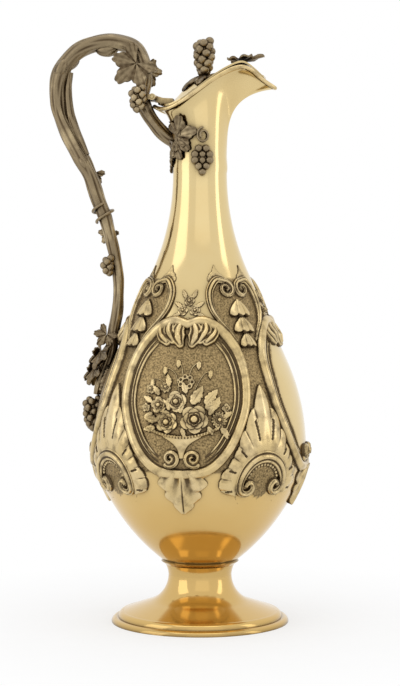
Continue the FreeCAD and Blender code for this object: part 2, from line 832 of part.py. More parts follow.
strap = make_strap()
other_strap = strap.mirror(Vector(), Vector(0, 1, 0))
bells = make_bells()
for name, turn in DIAGONALS.items():
    add_shape(f"strap_pair_{name}", [strap, other_strap], turn)
    add_shape(f"bell_drops_{name}", bells, turn)

# Handle: a vine branch from the neck, over an arch and down to the bowl
handle_reach, handle_top = size("handle_reach"), seam_height + size("handle_rise")
handle_end, branch_radius = size("handle_end"), size("branch_radius")
grape_radius = size("grape_radius")
ROOT_REACH = neck_radius + 1.2

# Shares of the way out from the root, of the way up from the lower end, and of the branch's radius
BRANCH_SHARES = [
    (-0.03, 0.674, 0.8), (0.05, 0.694, 0.86), (0.13, 0.727, 0.88), (0.21, 0.772, 0.9), (0.255, 0.821, 0.9),
    (0.232, 0.876, 0.92), (0.25, 0.934, 0.98), (0.33, 0.98, 0.98), (0.48, 1.0, 1.0), (0.645, 0.998, 1.0),
    (0.80, 0.977, 1.0), (0.92, 0.935, 1.0), (0.985, 0.885, 0.95), (1.0, 0.828, 0.9), (0.975, 0.768, 0.92),
    (0.9, 0.702, 0.98), (0.8, 0.631, 0.98), (0.705, 0.565, 0.9), (0.635, 0.487, 0.86), (0.575, 0.431, 0.84),
    (0.53, 0.369, 0.78), (0.495, 0.311, 0.74), (0.465, 0.24, 0.68), (0.462, 0.182, 0.66), (0.475, 0.124, 0.68),
    (0.5, 0.068, 0.72), (0.52, 0.0, 0.75),
]


BRANCH_STEPS = 44


def branch_spot(reach_share, rise_share, side=0.0):
    out = ROOT_REACH + (handle_reach - ROOT_REACH) * reach_share
    return Vector(-out, side, handle_end + (handle_top - handle_end) * rise_share)


def make_branch():
    line = spline([branch_spot(*share[:2]) for share in BRANCH_SHARES])
    sizes = spline([(k, share[2], 0) for k, share in enumerate(BRANCH_SHARES)])
    points = along(line, BRANCH_STEPS)
    radii = [branch_radius * spot.y for spot in along(sizes, BRANCH_STEPS)]
    whole = rod(points, radii, ribs=5, rib_depth=0.06, twist=0.12)
    low, high = seam_height + 8, low_height - 2
    socket = Part.makeCone(neck_radius + 0.5, neck_radius + 3.2, high - low, Vector(0, 0, low))
    return whole.cut(socket).cut(bowl_whole)


branch = make_branch()
add_shape("handle_branch", [branch])

STEM_SHARES = [(0.885, 0.905), (0.905, 0.855), (0.902, 0.806), (0.878, 0.757), (0.822, 0.702), (0.74, 0.636)]
stem_points = along(spline([branch_spot(*share) for share in STEM_SHARES]), 18)
stem_radii = [branch_radius * (0.35 + 0.22 * math.sin(math.pi * share)) for share in steps(0, 1, 18)]
stem = rod(stem_points, stem_radii, ribs=3, rib_depth=0.06, twist=0.2)
add_shape("handle_second_stem", [largest(stem.cut(branch))])


def knot(place, radius):
    return largest(Part.makeSphere(radius, place).cut(branch))


half_branch = 0.8 * branch_radius
add_shape("handle_knots", [
    knot(branch_spot(0.955, 0.918, -half_branch), 4.2),
    knot(branch_spot(0.76, 0.61, -half_branch), 3.0),
    knot(branch_spot(0.56, 0.962, 0.0), 4.6),
    knot(branch_spot(0.87, 0.935, half_branch), 4.0),
])


def make_handle_tendril():
    """One and a half turns of tendril round the branch."""
    middle = branch_spot(0.594, 0.45)
    axis = (branch_spot(0.55, 0.40) - branch_spot(0.635, 0.487)).normalize()
    across = Vector(0, 1, 0)
    outward = axis.cross(across)
    reach = branch_radius * 0.9 + 1.4
    points = []
    for share in steps(0, 1, 22):
        turn = math.radians(150 + 480 * share)
        spot = middle + axis * (9 * share - 4.5)
        points.append(spot + across * (reach * math.cos(turn)) + outward * (reach * math.sin(turn)))
    return wire_rod(points, 0.9)


add_shape("handle_tendril", [make_handle_tendril()])

front_face = -branch_radius - 1.2
top_leaf = vine_leaf(branch_spot(0.285, 0.925, front_face), Vector(-0.72, -0.05, -0.7), FORWARD, 15.5, 0.12)
add_shape("handle_top_leaf", [top_leaf])
add_shape("handle_rear_leaf", [
    vine_leaf(branch_spot(0.235, 0.91, -front_face), Vector(0.35, 0.25, -0.9), -FORWARD, 11.0, 0.1),
])
side_leaves = [
    vine_leaf(branch_spot(0.70, 0.58, -front_face), Vector(-0.5, 0.1, -0.86), -FORWARD, 9.0, 0.05),
    vine_leaf(branch_spot(0.56, 0.385, 0.79 * branch_radius + 0.7), Vector(-0.55, 0.1, -0.83), -FORWARD, 8.0, 0.05),
    vine_leaf(branch_spot(0.53, 0.075, -0.72 * branch_radius - 0.7), Vector(-0.75, -0.1, -0.65), FORWARD, 9.0, 0.05),
]
add_shape("handle_side_leaves", [largest(leaf.cut(branch)) for leaf in side_leaves])


def branch_grapes(place, top_radius, height, count):
    return largest(grape_bunch(place, top_radius, height, float(grape_radius), count).cut(branch).cut(bowl_whole))


add_shape("handle_mid_grapes", [
    branch_grapes(branch_spot(0.54, 0.277, front_face + 1.8), 2.6, 11.0, 8),
])


def make_foot_leaf():
    """A leafy spray that runs down the bowl from the branch's end."""
    rows = []
    for part in steps(-1, 1, 13):
        line = []
        for down in steps(0, 1, 12):
            height = handle_end - 9.0 - 17.0 * down
            half = 9.0 * math.sin(math.pi * (0.18 + 0.76 * down)) * (1 + 0.16 * math.cos(down * 7 * math.pi))
            lift = 1.0 + 3.2 * (1 - part * part) * math.sin(math.pi * (0.2 + 0.6 * down))
            line.append((half * part, height, lift))
        rows.append(line)
    return relief_plate(rows)


add_shape("handle_foot_leaf", [make_foot_leaf()], QUARTERS["handle"])
add_shape("handle_foot_grapes", [
    branch_grapes(bowl_point(180, handle_end - 38.0, 3.2), 4.6, 19.0, 20),
])

# Vine mount that joins the branch to the neck
edge_turns = sorted((math.degrees(math.atan2(edge.y, edge.x)), edge) for edge in edge_points)


def neck_point(degrees, height, lift):
    """A spot on the neck's outside, for angles near the handle."""
    turn = (degrees + 180) % 360 - 180
    edge = min(edge_turns, key=lambda pair: abs(pair[0] - turn))[1]
    share = (height - seam_height) / (edge.z - seam_height)
    rise = 1 - (1 - share) ** (1 / 1.5)
    reach = neck_radius + (math.hypot(edge.x, edge.y) - neck_radius) * rise ** 3.7 + lift
    return Vector(reach * math.cos(math.radians(degrees)), reach * math.sin(math.radians(degrees)), height)


def neck_leaf(degrees, height, heading, length):
    """A vine leaf laid round the neck."""
    top, bottom = [], []
    for spread in steps(-140, 140, 33):
        turn = math.radians(spread + heading)
        lobe = math.cos(math.radians(3 * spread)) ** 2
        reach = length * (0.6 + 0.4 * lobe) * (1 - 0.3 * abs(spread) / 140)
        over, under = [], []
        for part in steps(0.12, 1, 5):
            rise = reach * part * math.sin(turn)
            across = math.degrees(reach * part * math.cos(turn) / (neck_radius + 1.5))
            over.append(neck_point(degrees + across, height + rise, 1.7 + 0.5 * lobe * part))
            under.append(neck_point(degrees + across, height + rise, 0.5))
        top.append(over)
        bottom.append(under)
    return solid_between(top, bottom).cut(branch)


leaf_height = float(seam_height) + 20.5
neck_leaves = [
    neck_leaf(-128, leaf_height, -12, 12.5),
    neck_leaf(128, leaf_height, 192, 12.5),
    neck_leaf(180, float(seam_height) + 8.0, -90, 8.0),
]
add_shape("neck_leaves", [largest(leaf) for leaf in neck_leaves])


def make_neck_tendril(sign):
    points = []
    for share in steps(0, 1, 26):
        curl = math.radians(90 + 500 * share)
        reach = 3.6 - 2.2 * share
        across = -74 + math.degrees(reach * math.cos(curl) / neck_radius)
        points.append(neck_point(sign * across, leaf_height + 1 + reach * math.sin(curl) * 1.3, 1.4 + 0.8 * share))
    return wire_rod(points, 0.6)


neck_tendrils = [make_neck_tendril(1), make_neck_tendril(-1)]
add_shape("neck_tendrils", neck_tendrils)
neck_bunch = grape_bunch(neck_point(-88, leaf_height - 9.5, 2.4), 2.6, 13.0, 1.9, 9)
neck_core = Part.makeCone(neck_radius + 0.3, neck_radius + 1.6, 28.0, Vector(0, 0, seam_height))
add_shape("neck_grapes", [largest(neck_bunch.cut([neck_core] + neck_leaves + neck_tendrils))])

# Hinge: two fixed knuckles on a plate at the branch, a pin, and the lid's knuckle between them
hinge_reach, hinge_height = size("hinge_reach"), seam_height + size("hinge_rise")
knuckle_radius, knuckle_length = size("knuckle_radius"), size("knuckle_length")
pin_radius, pin_play = size("pin_radius"), size("pin_play")
lid_gap, lid_wall = size("lid_gap"), size("lid_wall")
hinge_place = Vector(-hinge_reach, 0, hinge_height)
across_y = Rotation(Vector(1, 0, 0), 90)
pin_length = knuckle_length * 3 + lid_gap * 2


def bar(label, radius, length, start):
    """A round bar along Y that begins at start and runs towards the front."""
    place = hinge_place + Vector(0, start, 0)
    return add_part("Part::Cylinder", label, {"Radius": radius, "Height": length}, place, across_y)


half_pin = pin_length / 2
bar("hinge_pin", pin_radius, pin_length + 0.8, half_pin + 0.4)


def make_bracket():
    back = knuckle_radius + lid_gap
    pieces = []
    for sign, start in ((1, half_pin), (-1, -half_pin + knuckle_length)):
        pieces.append(bar(f"fixed_knuckle_{'far' if sign > 0 else 'near'}", knuckle_radius, knuckle_length, start))
        arm = add_part(
            "Part::Box", f"hinge_arm_{'far' if sign > 0 else 'near'}",
            {"Length": back + 0.8, "Width": knuckle_length, "Height": knuckle_radius * 1.5},
            hinge_place + Vector(-back - 0.8, start - knuckle_length, -0.75 * knuckle_radius),
        )
        pieces.append(arm)
    plate = add_part(
        "Part::Box", "hinge_plate",
        {"Length": knuckle_radius * 2, "Width": pin_length, "Height": knuckle_radius * 1.5},
        hinge_place + Vector(-back - 2 * knuckle_radius, -half_pin, -0.75 * knuckle_radius),
    )
    joined = doc.addObject("Part::MultiFuse", "hinge_bracket_blank")
    joined.Shapes = pieces + [plate]
    bore = bar("fixed_bore", pin_radius, pin_length + 2.0, half_pin + 1.0)
    doc.recompute()
    return largest(joined.Shape.cut(bore.Shape).cut(branch))


bracket = make_bracket()
add_shape("hinge_bracket", [bracket])

hanging_grapes = branch_grapes(branch_spot(0.31, 0.809, front_face - 1.5), 3.6, 15.0, 14)
add_shape("handle_top_grapes", [largest(hanging_grapes.cut(top_leaf).cut(bracket))])

# Lid: a cover that follows the mouth, with a dome over the neck
dome_height, dome_radius = size("dome_height"), size("dome_radius")
finial_reach, finial_height = size("finial_reach"), size("finial_height")
finial_radius, stud_radius = size("finial_radius"), size("stud_radius")
nut_width = size("nut_width")
DOME_CENTRE = -4.0
lid_edge = half_edge[2:-2]
lid_seat = bead_radius * 2 + SEAT + lid_gap
spout_start, spout_lift = shoulder_reach - 8, 0.9


def lid_rest(reach):
    """The lid's height over the mouth's edge, which is steep along the spout."""
    return lid_seat + spout_lift * min(max((reach - spout_start) / 8, 0), 1)


def lid_base(reach):
    """The height of the lid's underside along its middle, without the dome."""
    for one, two in zip(half_edge, half_edge[1:]):
        if one.x <= reach <= two.x:
            return one.z + (two.z - one.z) * (reach - one.x) / (two.x - one.x) + lid_rest(reach)
    return half_edge[-1].z + lid_rest(reach)


def lid_dome(reach, side):
    far = min(math.hypot(reach - DOME_CENTRE, side) / dome_radius, 1.0)
    return dome_height * math.cos(math.pi / 2 * far) ** 2


def lid_top(reach, side, lift=0.0):
    return Vector(reach, side, lid_base(reach) + lid_wall + lid_dome(reach, side) + lift)


def make_cover():
    top, bottom = [], []
    for edge in lid_edge:
        line = [Vector(edge.x, edge.y * share, edge.z + lid_rest(edge.x)) for share in steps(-1, 1, 13)]
        line = [point + UP * lid_dome(point.x, point.y) for point in line]
        bottom.append(line)
        top.append([point + UP * float(lid_wall) for point in line])
    return solid_between(top, bottom)


stud_foot = lid_base(finial_reach) + lid_dome(finial_reach, 0) - 4.0
stud_place = Vector(finial_reach, 0, stud_foot)
stud = add_part(
    "Part::Cylinder", "finial_stem",
    {"Radius": stud_radius, "Height": finial_height * 0.6}, stud_place,
)
doc.recompute()
cover = make_cover().cut(stud.Shape)
add_shape("lid_cover", [cover])


def make_flange():
    outer_low, outer_high, inner_low, inner_high = [], [], [], []
    for edge in edge_points + [edge_points[0]]:
        spot = Vector(4 + (edge.x - 4) * 0.66, edge.y * 0.66, 0)
        thin = Vector(4 + (edge.x - 4) * 0.60, edge.y * 0.60, 0)
        for place, low, high in ((spot, outer_low, outer_high), (thin, inner_low, inner_high)):
            roof = lid_base(place.x) + lid_dome(place.x, place.y) - SEAT
            floor = lid_base(place.x) - 4.5
            low.append(Vector(place.x, place.y, floor))
            high.append(Vector(place.x, place.y, roof))

    def wall_rows(low, high):
        return [[a + (b - a) * share for a, b in zip(low, high)] for share in steps(0, 1, 4)]

    return solid_between(wall_rows(outer_low, outer_high), wall_rows(inner_low, inner_high), closed=True)


add_shape("lid_flange", [make_flange()])


def make_hinge_leaf():
    """The lid's knuckle with a strap that runs on to the cover."""
    barrel = bar("lid_knuckle", knuckle_radius, knuckle_length, knuckle_length / 2)
    doc.recompute()
    x, z = -float(hinge_reach), float(hinge_height)
    rear = lid_edge[0].x
    outline = [
        Vector(x, 0, z + 0.8 * knuckle_radius), Vector(rear + 2.0, 0, z - 0.2), Vector(rear + 8.0, 0, z - 0.6),
        Vector(rear + 8.0, 0, lid_base(rear + 8.0)), Vector(rear, 0, lid_base(rear) + 0.5),
        Vector(x, 0, z - 0.6 * knuckle_radius),
    ]
    strap_face = Part.Face(Part.makePolygon(outline + outline[:1]))
    strip = strap_face.extrude(Vector(0, float(knuckle_length), 0))
    strip.translate(Vector(0, -knuckle_length / 2, 0))
    bore = Part.makeCylinder(pin_radius + pin_play, pin_length, hinge_place + Vector(0, -half_pin, 0), -FORWARD)
    solid = barrel.Shape.fuse(strip).cut(bore).cut(cover)
    return largest(solid)


add_shape("lid_hinge_leaf", [make_hinge_leaf()])


def make_lid_leaf(degrees, length):
    """A vine leaf laid over the dome."""
    top, bottom = [], []
    for spread in steps(-140, 140, 33):
        turn = math.radians(spread + degrees)
        lobe = math.cos(math.radians(3 * spread)) ** 2
        reach = length * (0.6 + 0.4 * lobe) * (1 - 0.3 * abs(spread) / 140)
        over, under = [], []
        for part in steps(0.16, 1, 6):
            x = finial_reach + reach * part * math.cos(turn)
            y = reach * part * math.sin(turn)
            over.append(lid_top(x, y, 1.5 + 0.6 * lobe * part))
            under.append(lid_top(x, y, 0.35))
        top.append(over)
        bottom.append(under)
    return solid_between(top, bottom)


add_shape("lid_leaf", [largest(make_lid_leaf(205, 14.0).cut(stud.Shape))])

finial_foot = lid_top(finial_reach, 0).z + 2.6
top_grape = 1.25 * grape_radius
bunch = grape_bunch(
    Vector(finial_reach, 0, finial_foot + finial_height / 2), finial_radius - top_grape,
    finial_height - 2 * top_grape, top_grape, 18,
)
add_shape("finial_grapes", [largest(bunch.cut(stud.Shape))])


def make_nut():
    body = doc.addObject("PartDesign::Body", "finial_nut")
    sketch = add_sketch(body, "nut_hexagon", "XY_Plane")
    corner = nut_width * (1 / math.sqrt(3))
    points = [
        Vector(corner * math.cos(math.radians(60 * k)), corner * math.sin(math.radians(60 * k)), 0) for k in range(6)
    ]
    sides = [sketch.addGeometry(Part.LineSegment(points[k], points[(k + 1) % 6])) for k in range(6)]
    ring = sketch.addGeometry(Part.Circle(Vector(), UP, float(corner)), True)
    for k in range(6):
        sketch.addConstraint(Sketcher.Constraint("Coincident", sides[k], 2, sides[(k + 1) % 6], 1))
        sketch.addConstraint(Sketcher.Constraint("PointOnObject", sides[k], 1, ring))
    for k in range(5):
        sketch.addConstraint(Sketcher.Constraint("Equal", sides[k], sides[k + 1]))
    sketch.addConstraint(Sketcher.Constraint("Coincident", ring, 3, -1, 1))
    sketch.addConstraint(Sketcher.Constraint("PointOnObject", sides[0], 1, -1))
    dimension(sketch, "Radius", (ring,), corner)
    bore = sketch.addGeometry(Part.Circle(Vector(), UP, float(stud_radius)))
    sketch.addConstraint(Sketcher.Constraint("Coincident", bore, 3, -1, 1))
    dimension(sketch, "Radius", (bore,), stud_radius)
    block = body.newObject("PartDesign::Pad", "nut_block")
    block.Profile = sketch
    block.Length = 2.2
    body.Tip = block
    body.Placement = Placement(stud_place + UP * 0.6, Rotation())
    doc.recompute()


make_nut()

tip_base = lid_top(0.55 * lip_reach, 0, 1.1)
add_shape("spout_leaf", [
    vine_leaf(tip_base, Vector(0.97, 0, 0.1), UP, 13.0, 0.16, 1.2),
])

# Write each piece to its own file
NODES = [feature for feature in doc.Objects if feature.TypeId in ("Part::Feature", "PartDesign::Body")]
NODES += [doc.getObject("hinge_pin"), doc.getObject("finial_stem")]
doc.recompute()
os.makedirs("parts", exist_ok=True)
broken = []
for node in NODES:
    flags = [flag for flag in node.State if flag in ("Invalid", "Error")]
    if flags or node.Shape.isNull() or not node.Shape.isValid():
        broken.append(node.Label)
        continue
    node.Shape.exportStep(f"parts/{node.Label}.step")
    print(node.Label, len(node.Shape.Solids), round(node.Shape.Volume, 1))
if broken:
    raise RuntimeError(f"not valid: {broken}")
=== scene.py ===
"""Looks of a gilt wine ewer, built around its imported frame.

The relief on the bowl is worked out on a flat map (arc length from a motif's centre line, height) and
laid on the bowl's outline. Lengths are millimetres until a mesh is made; shaders, lamps and the
floor are in metres.
"""
import math

import bpy
import numpy as np
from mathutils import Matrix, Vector
from mathutils.bvhtree import BVHTree


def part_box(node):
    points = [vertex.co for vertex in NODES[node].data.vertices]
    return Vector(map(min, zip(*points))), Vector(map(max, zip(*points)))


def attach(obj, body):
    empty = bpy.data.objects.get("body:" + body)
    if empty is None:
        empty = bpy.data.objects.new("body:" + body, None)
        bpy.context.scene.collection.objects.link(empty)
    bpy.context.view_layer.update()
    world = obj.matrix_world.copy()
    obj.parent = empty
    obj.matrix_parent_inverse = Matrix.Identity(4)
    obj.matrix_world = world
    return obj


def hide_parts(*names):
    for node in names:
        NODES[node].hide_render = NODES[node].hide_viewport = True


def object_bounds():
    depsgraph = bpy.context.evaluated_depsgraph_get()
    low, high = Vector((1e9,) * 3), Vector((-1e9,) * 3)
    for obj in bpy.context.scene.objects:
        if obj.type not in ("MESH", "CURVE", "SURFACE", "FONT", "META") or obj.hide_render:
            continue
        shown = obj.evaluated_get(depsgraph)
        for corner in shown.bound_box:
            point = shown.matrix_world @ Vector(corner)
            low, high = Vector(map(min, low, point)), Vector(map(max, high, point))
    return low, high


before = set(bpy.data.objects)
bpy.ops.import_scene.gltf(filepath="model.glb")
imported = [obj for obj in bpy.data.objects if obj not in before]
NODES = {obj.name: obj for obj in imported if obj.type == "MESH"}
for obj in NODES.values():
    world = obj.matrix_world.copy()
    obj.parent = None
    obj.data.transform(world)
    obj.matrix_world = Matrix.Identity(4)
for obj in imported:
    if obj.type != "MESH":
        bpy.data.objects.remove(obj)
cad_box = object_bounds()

MM = 0.001
QUARTERS = {"front": -90, "spout": 0, "back": 90, "handle": 180}
DIAGONALS = {"front_left": -135, "front_right": -45, "back_right": 45, "back_left": 135}


def box_of(node):
    """A node's lowest and highest corners, in mm."""
    return [np.array(corner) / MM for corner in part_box(node)]


# Outline of the bowl, from the sizes of its node
bowl_low, bowl_high = box_of("bowl_shell")
BELLY_RADIUS = bowl_high[0]
BASE_HEIGHT, SEAM_HEIGHT = bowl_low[2], bowl_high[2]
BELLY_HEIGHT = 104.0
BASE_RADIUS = 22.5
NECK_RADIUS = 16.2
LOWER_CURVE, BELLY_CURVE, UPPER_CURVE, NECK_CURVE = 120.0, 48.0, 125.0, 145.0
STEEPEST_JOIN = math.radians(60)
HALVINGS = 60
SLOPE_STEP = 0.2

upper_centre = np.array([BELLY_RADIUS - UPPER_CURVE, BELLY_HEIGHT])
neck_centre = np.array([NECK_RADIUS + NECK_CURVE, SEAM_HEIGHT])
belly_centre = np.array([BELLY_RADIUS - BELLY_CURVE, BELLY_HEIGHT])
between = neck_centre - upper_centre
lean = math.atan2(between[1], between[0]) - math.acos((UPPER_CURVE + NECK_CURVE) / np.hypot(*between))
lean_way = np.array([math.cos(lean), math.sin(lean)])
straight_start = upper_centre + lean_way * UPPER_CURVE
straight_end = neck_centre - lean_way * NECK_CURVE


def lower_join():
    """Centre of the flat lower arc and the height where the belly runs into it, found by halving."""
    low, high = 0.0, STEEPEST_JOIN
    for _ in range(HALVINGS):
        middle = (low + high) / 2
        way = np.array([math.cos(middle), -math.sin(middle)])
        centre = belly_centre - way * (LOWER_CURVE - BELLY_CURVE)
        if np.hypot(BASE_RADIUS - centre[0], BASE_HEIGHT - centre[1]) < LOWER_CURVE:
            low = middle
        else:
            high = middle
    return centre, (belly_centre + way * BELLY_CURVE)[1]


lower_centre, lower_end = lower_join()


def bowl_radius(height):
    """The bowl's outer radius at each height."""
    z = np.asarray(height, float)

    def arc(centre, radius):
        return np.sqrt(np.maximum(radius ** 2 - (z - centre[1]) ** 2, 0))

    share = (z - straight_start[1]) / (straight_end[1] - straight_start[1])
    straight = straight_start[0] + (straight_end[0] - straight_start[0]) * share
    return np.select(
        [z >= straight_end[1], z >= straight_start[1], z >= BELLY_HEIGHT, z >= lower_end],
        [
            neck_centre[0] - arc(neck_centre, NECK_CURVE), straight,
            upper_centre[0] + arc(upper_centre, UPPER_CURVE),
            belly_centre[0] + arc(belly_centre, BELLY_CURVE),
        ],
        lower_centre[0] + arc(lower_centre, LOWER_CURVE),
    )


def on_bowl(degrees, height, lift):
    """Points above the bowl's wall by lift, along its normal."""
    turn = np.radians(degrees)
    radius = bowl_radius(height)
    slope = (bowl_radius(height + SLOPE_STEP) - bowl_radius(height - SLOPE_STEP)) / (2 * SLOPE_STEP)
    flat = 1 / np.sqrt(1 + slope ** 2)
    reach = radius + lift * flat
    return np.stack([reach * np.cos(turn), reach * np.sin(turn), height - slope * flat * lift], axis=-1)


# Curves
def smooth(points, count):
    """Points at even steps on a smooth curve through the given ones."""
    points = np.asarray(points, float)
    padded = np.vstack([2 * points[0] - points[1], points, 2 * points[-1] - points[-2]])
    place = np.linspace(0, len(points) - 1, count * 4)
    k = np.minimum(place.astype(int), len(points) - 2)
    t = (place - k)[:, None]
    a, b, c, d = padded[k], padded[k + 1], padded[k + 2], padded[k + 3]
    curve = 2 * b + (c - a) * t
    curve = curve + (2 * a - 5 * b + 4 * c - d) * t ** 2 + (3 * b - a - 3 * c + d) * t ** 3
    dense = curve / 2
    run = np.concatenate([[0], np.cumsum(np.linalg.norm(np.diff(dense, axis=0), axis=1))])
    even = np.linspace(0, run[-1], count)
    return np.stack([np.interp(even, run, dense[:, j]) for j in range(dense.shape[1])], axis=1)


def spiral(centre, reach, inner, start, turns, count):
    """A curl from its outside to its eye."""
    share = np.linspace(0, 1, count)
    turn = np.radians(start + 360 * turns * share)
    far = reach + (inner - reach) * share
    return np.stack([centre[0] + far * np.cos(turn), centre[1] + far * np.sin(turn)], axis=1)


def flat_map(spots):
    """(degrees, height) spots as (arc length, height) in mm."""
    spots = np.asarray(spots, float)
    return np.stack([np.radians(spots[:, 0]) * bowl_radius(spots[:, 1]), spots[:, 1]], axis=1)


def mapped(degrees, height):
    """One spot of the flat map."""
    return flat_map([(degrees, height)])[0]


def mirrored(path):
    return path * np.array([-1, 1])


def both_sides(path):
    return path, mirrored(path)


# Heights of relief motifs over the flat map; below zero means under the bowl's wall
UNDER = -0.45
GROOVE_PLACE, GROOVE_WIDTH = 0.45, 0.16


def highest(X, shapes):
    """The upper surface of several motifs over the bare wall."""
    return np.maximum.reduce([np.full(X.shape, UNDER), *shapes])


def along_path(X, Z, path):
    """Signed distance to a path, how far along it the nearest spot is, and the share of the way."""
    best = np.full(X.shape, 1e9)
    side = np.zeros(X.shape)
    run = np.zeros(X.shape)
    lengths = np.linalg.norm(np.diff(path, axis=0), axis=1)
    starts = np.concatenate([[0], np.cumsum(lengths)])
    for k, length in enumerate(lengths):
        way = (path[k + 1] - path[k]) / max(length, 1e-9)
        dx, dz = X - path[k][0], Z - path[k][1]
        t = np.clip(dx * way[0] + dz * way[1], 0, length)
        far = np.hypot(dx - t * way[0], dz - t * way[1])
        nearer = far < best
        best = np.where(nearer, far, best)
        side = np.where(nearer, np.sign(way[0] * dz - way[1] * dx), side)
        run = np.where(nearer, starts[k] + t, run)
    return best * side, run, run / starts[-1]


def roll(share):
    """A round section: 1 in the middle, 0 at the edges and below zero beyond."""
    inside = np.sqrt(np.clip(1 - share ** 2, 0, 1))
    return np.where(np.abs(share) < 1, inside, 1 - np.abs(share))


def scroll(X, Z, path, width, lift, groove=0.0):
    """A scroll along a path; width and lift change evenly through the listed values."""
    far, _, share = along_path(X, Z, path)
    places = np.linspace(0, 1, len(width))
    half = np.interp(share, places, width)
    tall = np.interp(share, places, lift)
    across = np.abs(far) / half
    height = tall * roll(across)
    height = height - groove * tall * np.exp(-((across - GROOVE_PLACE) / GROOVE_WIDTH) ** 2)
    outside = np.maximum(half - np.abs(far), UNDER)
    return np.where(across < 1, np.maximum(height, 0.05), outside)


def petals(X, Z, centre, radius, lift, count, phase=0.0, rows=2):
    """A flower head: rows of petals round a button."""
    dx, dz = X - centre[0], Z - centre[1]
    far = np.hypot(dx, dz) / radius
    turn = np.arctan2(dz, dx) + phase
    height = np.where(far < 1.15, -radius * np.maximum(far - 1, 0), UNDER)
    for row in range(rows):
        size = 1 - row / (rows + 0.6)
        wave = np.abs(np.cos(count * turn / 2 + row * math.pi / 2))
        edge = size * (0.72 + 0.28 * np.sqrt(wave))
        share = far / edge
        cup = lift * (0.55 + 0.45 * row / rows) * (0.45 + 0.55 * share ** 2) * (0.6 + 0.4 * wave)
        height = np.where(share < 1, np.maximum(cup, 0.15), height)
    button = 0.24
    height = np.where(far < button, lift * (0.75 + 0.35 * roll(far / button)), height)
    return np.maximum(height, UNDER)


def leaf(X, Z, base, degrees, length, width, lift, teeth=4):
    """A toothed leaf with a midrib and side veins."""
    turn = math.radians(degrees)
    dx, dz = X - base[0], Z - base[1]
    s = (dx * math.cos(turn) + dz * math.sin(turn)) / length
    t = -dx * math.sin(turn) + dz * math.cos(turn)
    run = np.clip(s, 0.001, 0.999)
    tooth = 1 - np.mod(run * teeth, 1.0)
    half = width * np.sin(math.pi * run ** 0.75) ** 0.8 * (0.72 + 0.28 * tooth) + 0.05
    across = np.abs(t) / half
    bulge = np.sqrt(np.clip(1 - across ** 2, 0, 1))
    vein = 0.16 * np.exp(-(t / (0.09 * width)) ** 2)
    ribs = 0.12 * np.cos(2 * math.pi * (run * teeth * 2 - across * 0.9)) * across
    height = lift * (0.35 + 0.65 * bulge - vein + ribs)
    outside = -np.maximum(np.abs(t) - half, np.maximum(-s, s - 1) * length)
    inside = (across < 1) & (s > 0) & (s < 1)
    return np.where(inside, np.maximum(height, 0.08), np.maximum(outside, UNDER))


def dome(X, Z, centre, radius, lift):
    far = np.hypot(X - centre[0], Z - centre[1]) / radius
    return np.maximum(np.where(far < 1, lift * roll(far), -(far - 1) * radius), UNDER)


def blurred(values, cells):
    """A box blur, twice, over a grid."""
    wide = 2 * cells + 1
    for axis in (0, 1, 0, 1):
        size = values.shape[axis]
        before = np.repeat(np.take(values, [0], axis), cells, axis)
        behind = np.repeat(np.take(values, [-1], axis), cells, axis)
        sums = np.cumsum(np.concatenate([before, values, behind], axis), axis)
        sums = np.concatenate([np.zeros_like(np.take(sums, [0], axis)), sums], axis)
        upper = np.take(sums, range(wide, wide + size), axis)
        lower = np.take(sums, range(size), axis)
        values = (upper - lower) / wide
    return values


# Meshes: steps of the relief, values for its shade, depth of its back, and the corners of a quad turned over
COARSE, FINE = 0.36, 0.3
BLUR_CELLS, HOLLOW_GAIN = 3, 1.1
LOW_LIFT, LOW_SHADE = 0.7, 0.6
BACK = 1.6 * UNDER
OTHER_WAY = [0, 3, 2, 1]


def sheet_faces(rows, columns):
    """Quads of a sheet of points that are counted row by row."""
    grid = np.arange(rows * columns).reshape(rows, columns)
    corners = [grid[:-1, :-1], grid[:-1, 1:], grid[1:, 1:], grid[1:, :-1]]
    return np.stack(corners, axis=-1).reshape(-1, 4)


def ring_faces(rows, columns):
    """Quads of a sheet whose last column meets its first."""
    grid = np.arange(rows * columns).reshape(rows, columns)
    after = np.roll(grid, -1, axis=1)
    return np.stack([grid[:-1], after[:-1], after[1:], grid[1:]], axis=-1).reshape(-1, 4)


def new_object(name, points, faces, shade=None):
    """A smooth mesh object in metres, with a value for each point: painted shade on relief and vine, the
    matt ground mask on the bowl.
    """
    mesh = bpy.data.meshes.new(name)
    points = np.asarray(points, np.float32) * MM
    faces = np.asarray(faces, np.int32)
    mesh.vertices.add(len(points))
    mesh.vertices.foreach_set("co", points.ravel())
    corners = faces.shape[1]
    mesh.loops.add(faces.size)
    mesh.loops.foreach_set("vertex_index", faces.ravel())
    mesh.polygons.add(len(faces))
    mesh.polygons.foreach_set("loop_start", np.arange(0, faces.size, corners, dtype=np.int32))
    mesh.polygons.foreach_set("use_smooth", np.ones(len(faces), bool))
    mesh.update(calc_edges=True)
    values = np.zeros(len(points), np.float32) if shade is None else np.asarray(shade, np.float32)
    mesh.attributes.new("shade", "FLOAT", "POINT").data.foreach_set("value", values)
    made = bpy.data.objects.new(name, mesh)
    bpy.context.scene.collection.objects.link(made)
    return made


def finish_piece(piece, body, material, node):
    """Gives a piece its material and body, and hides the node that it stands for."""
    piece.data.materials.append(material)
    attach(piece, body)
    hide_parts(node)


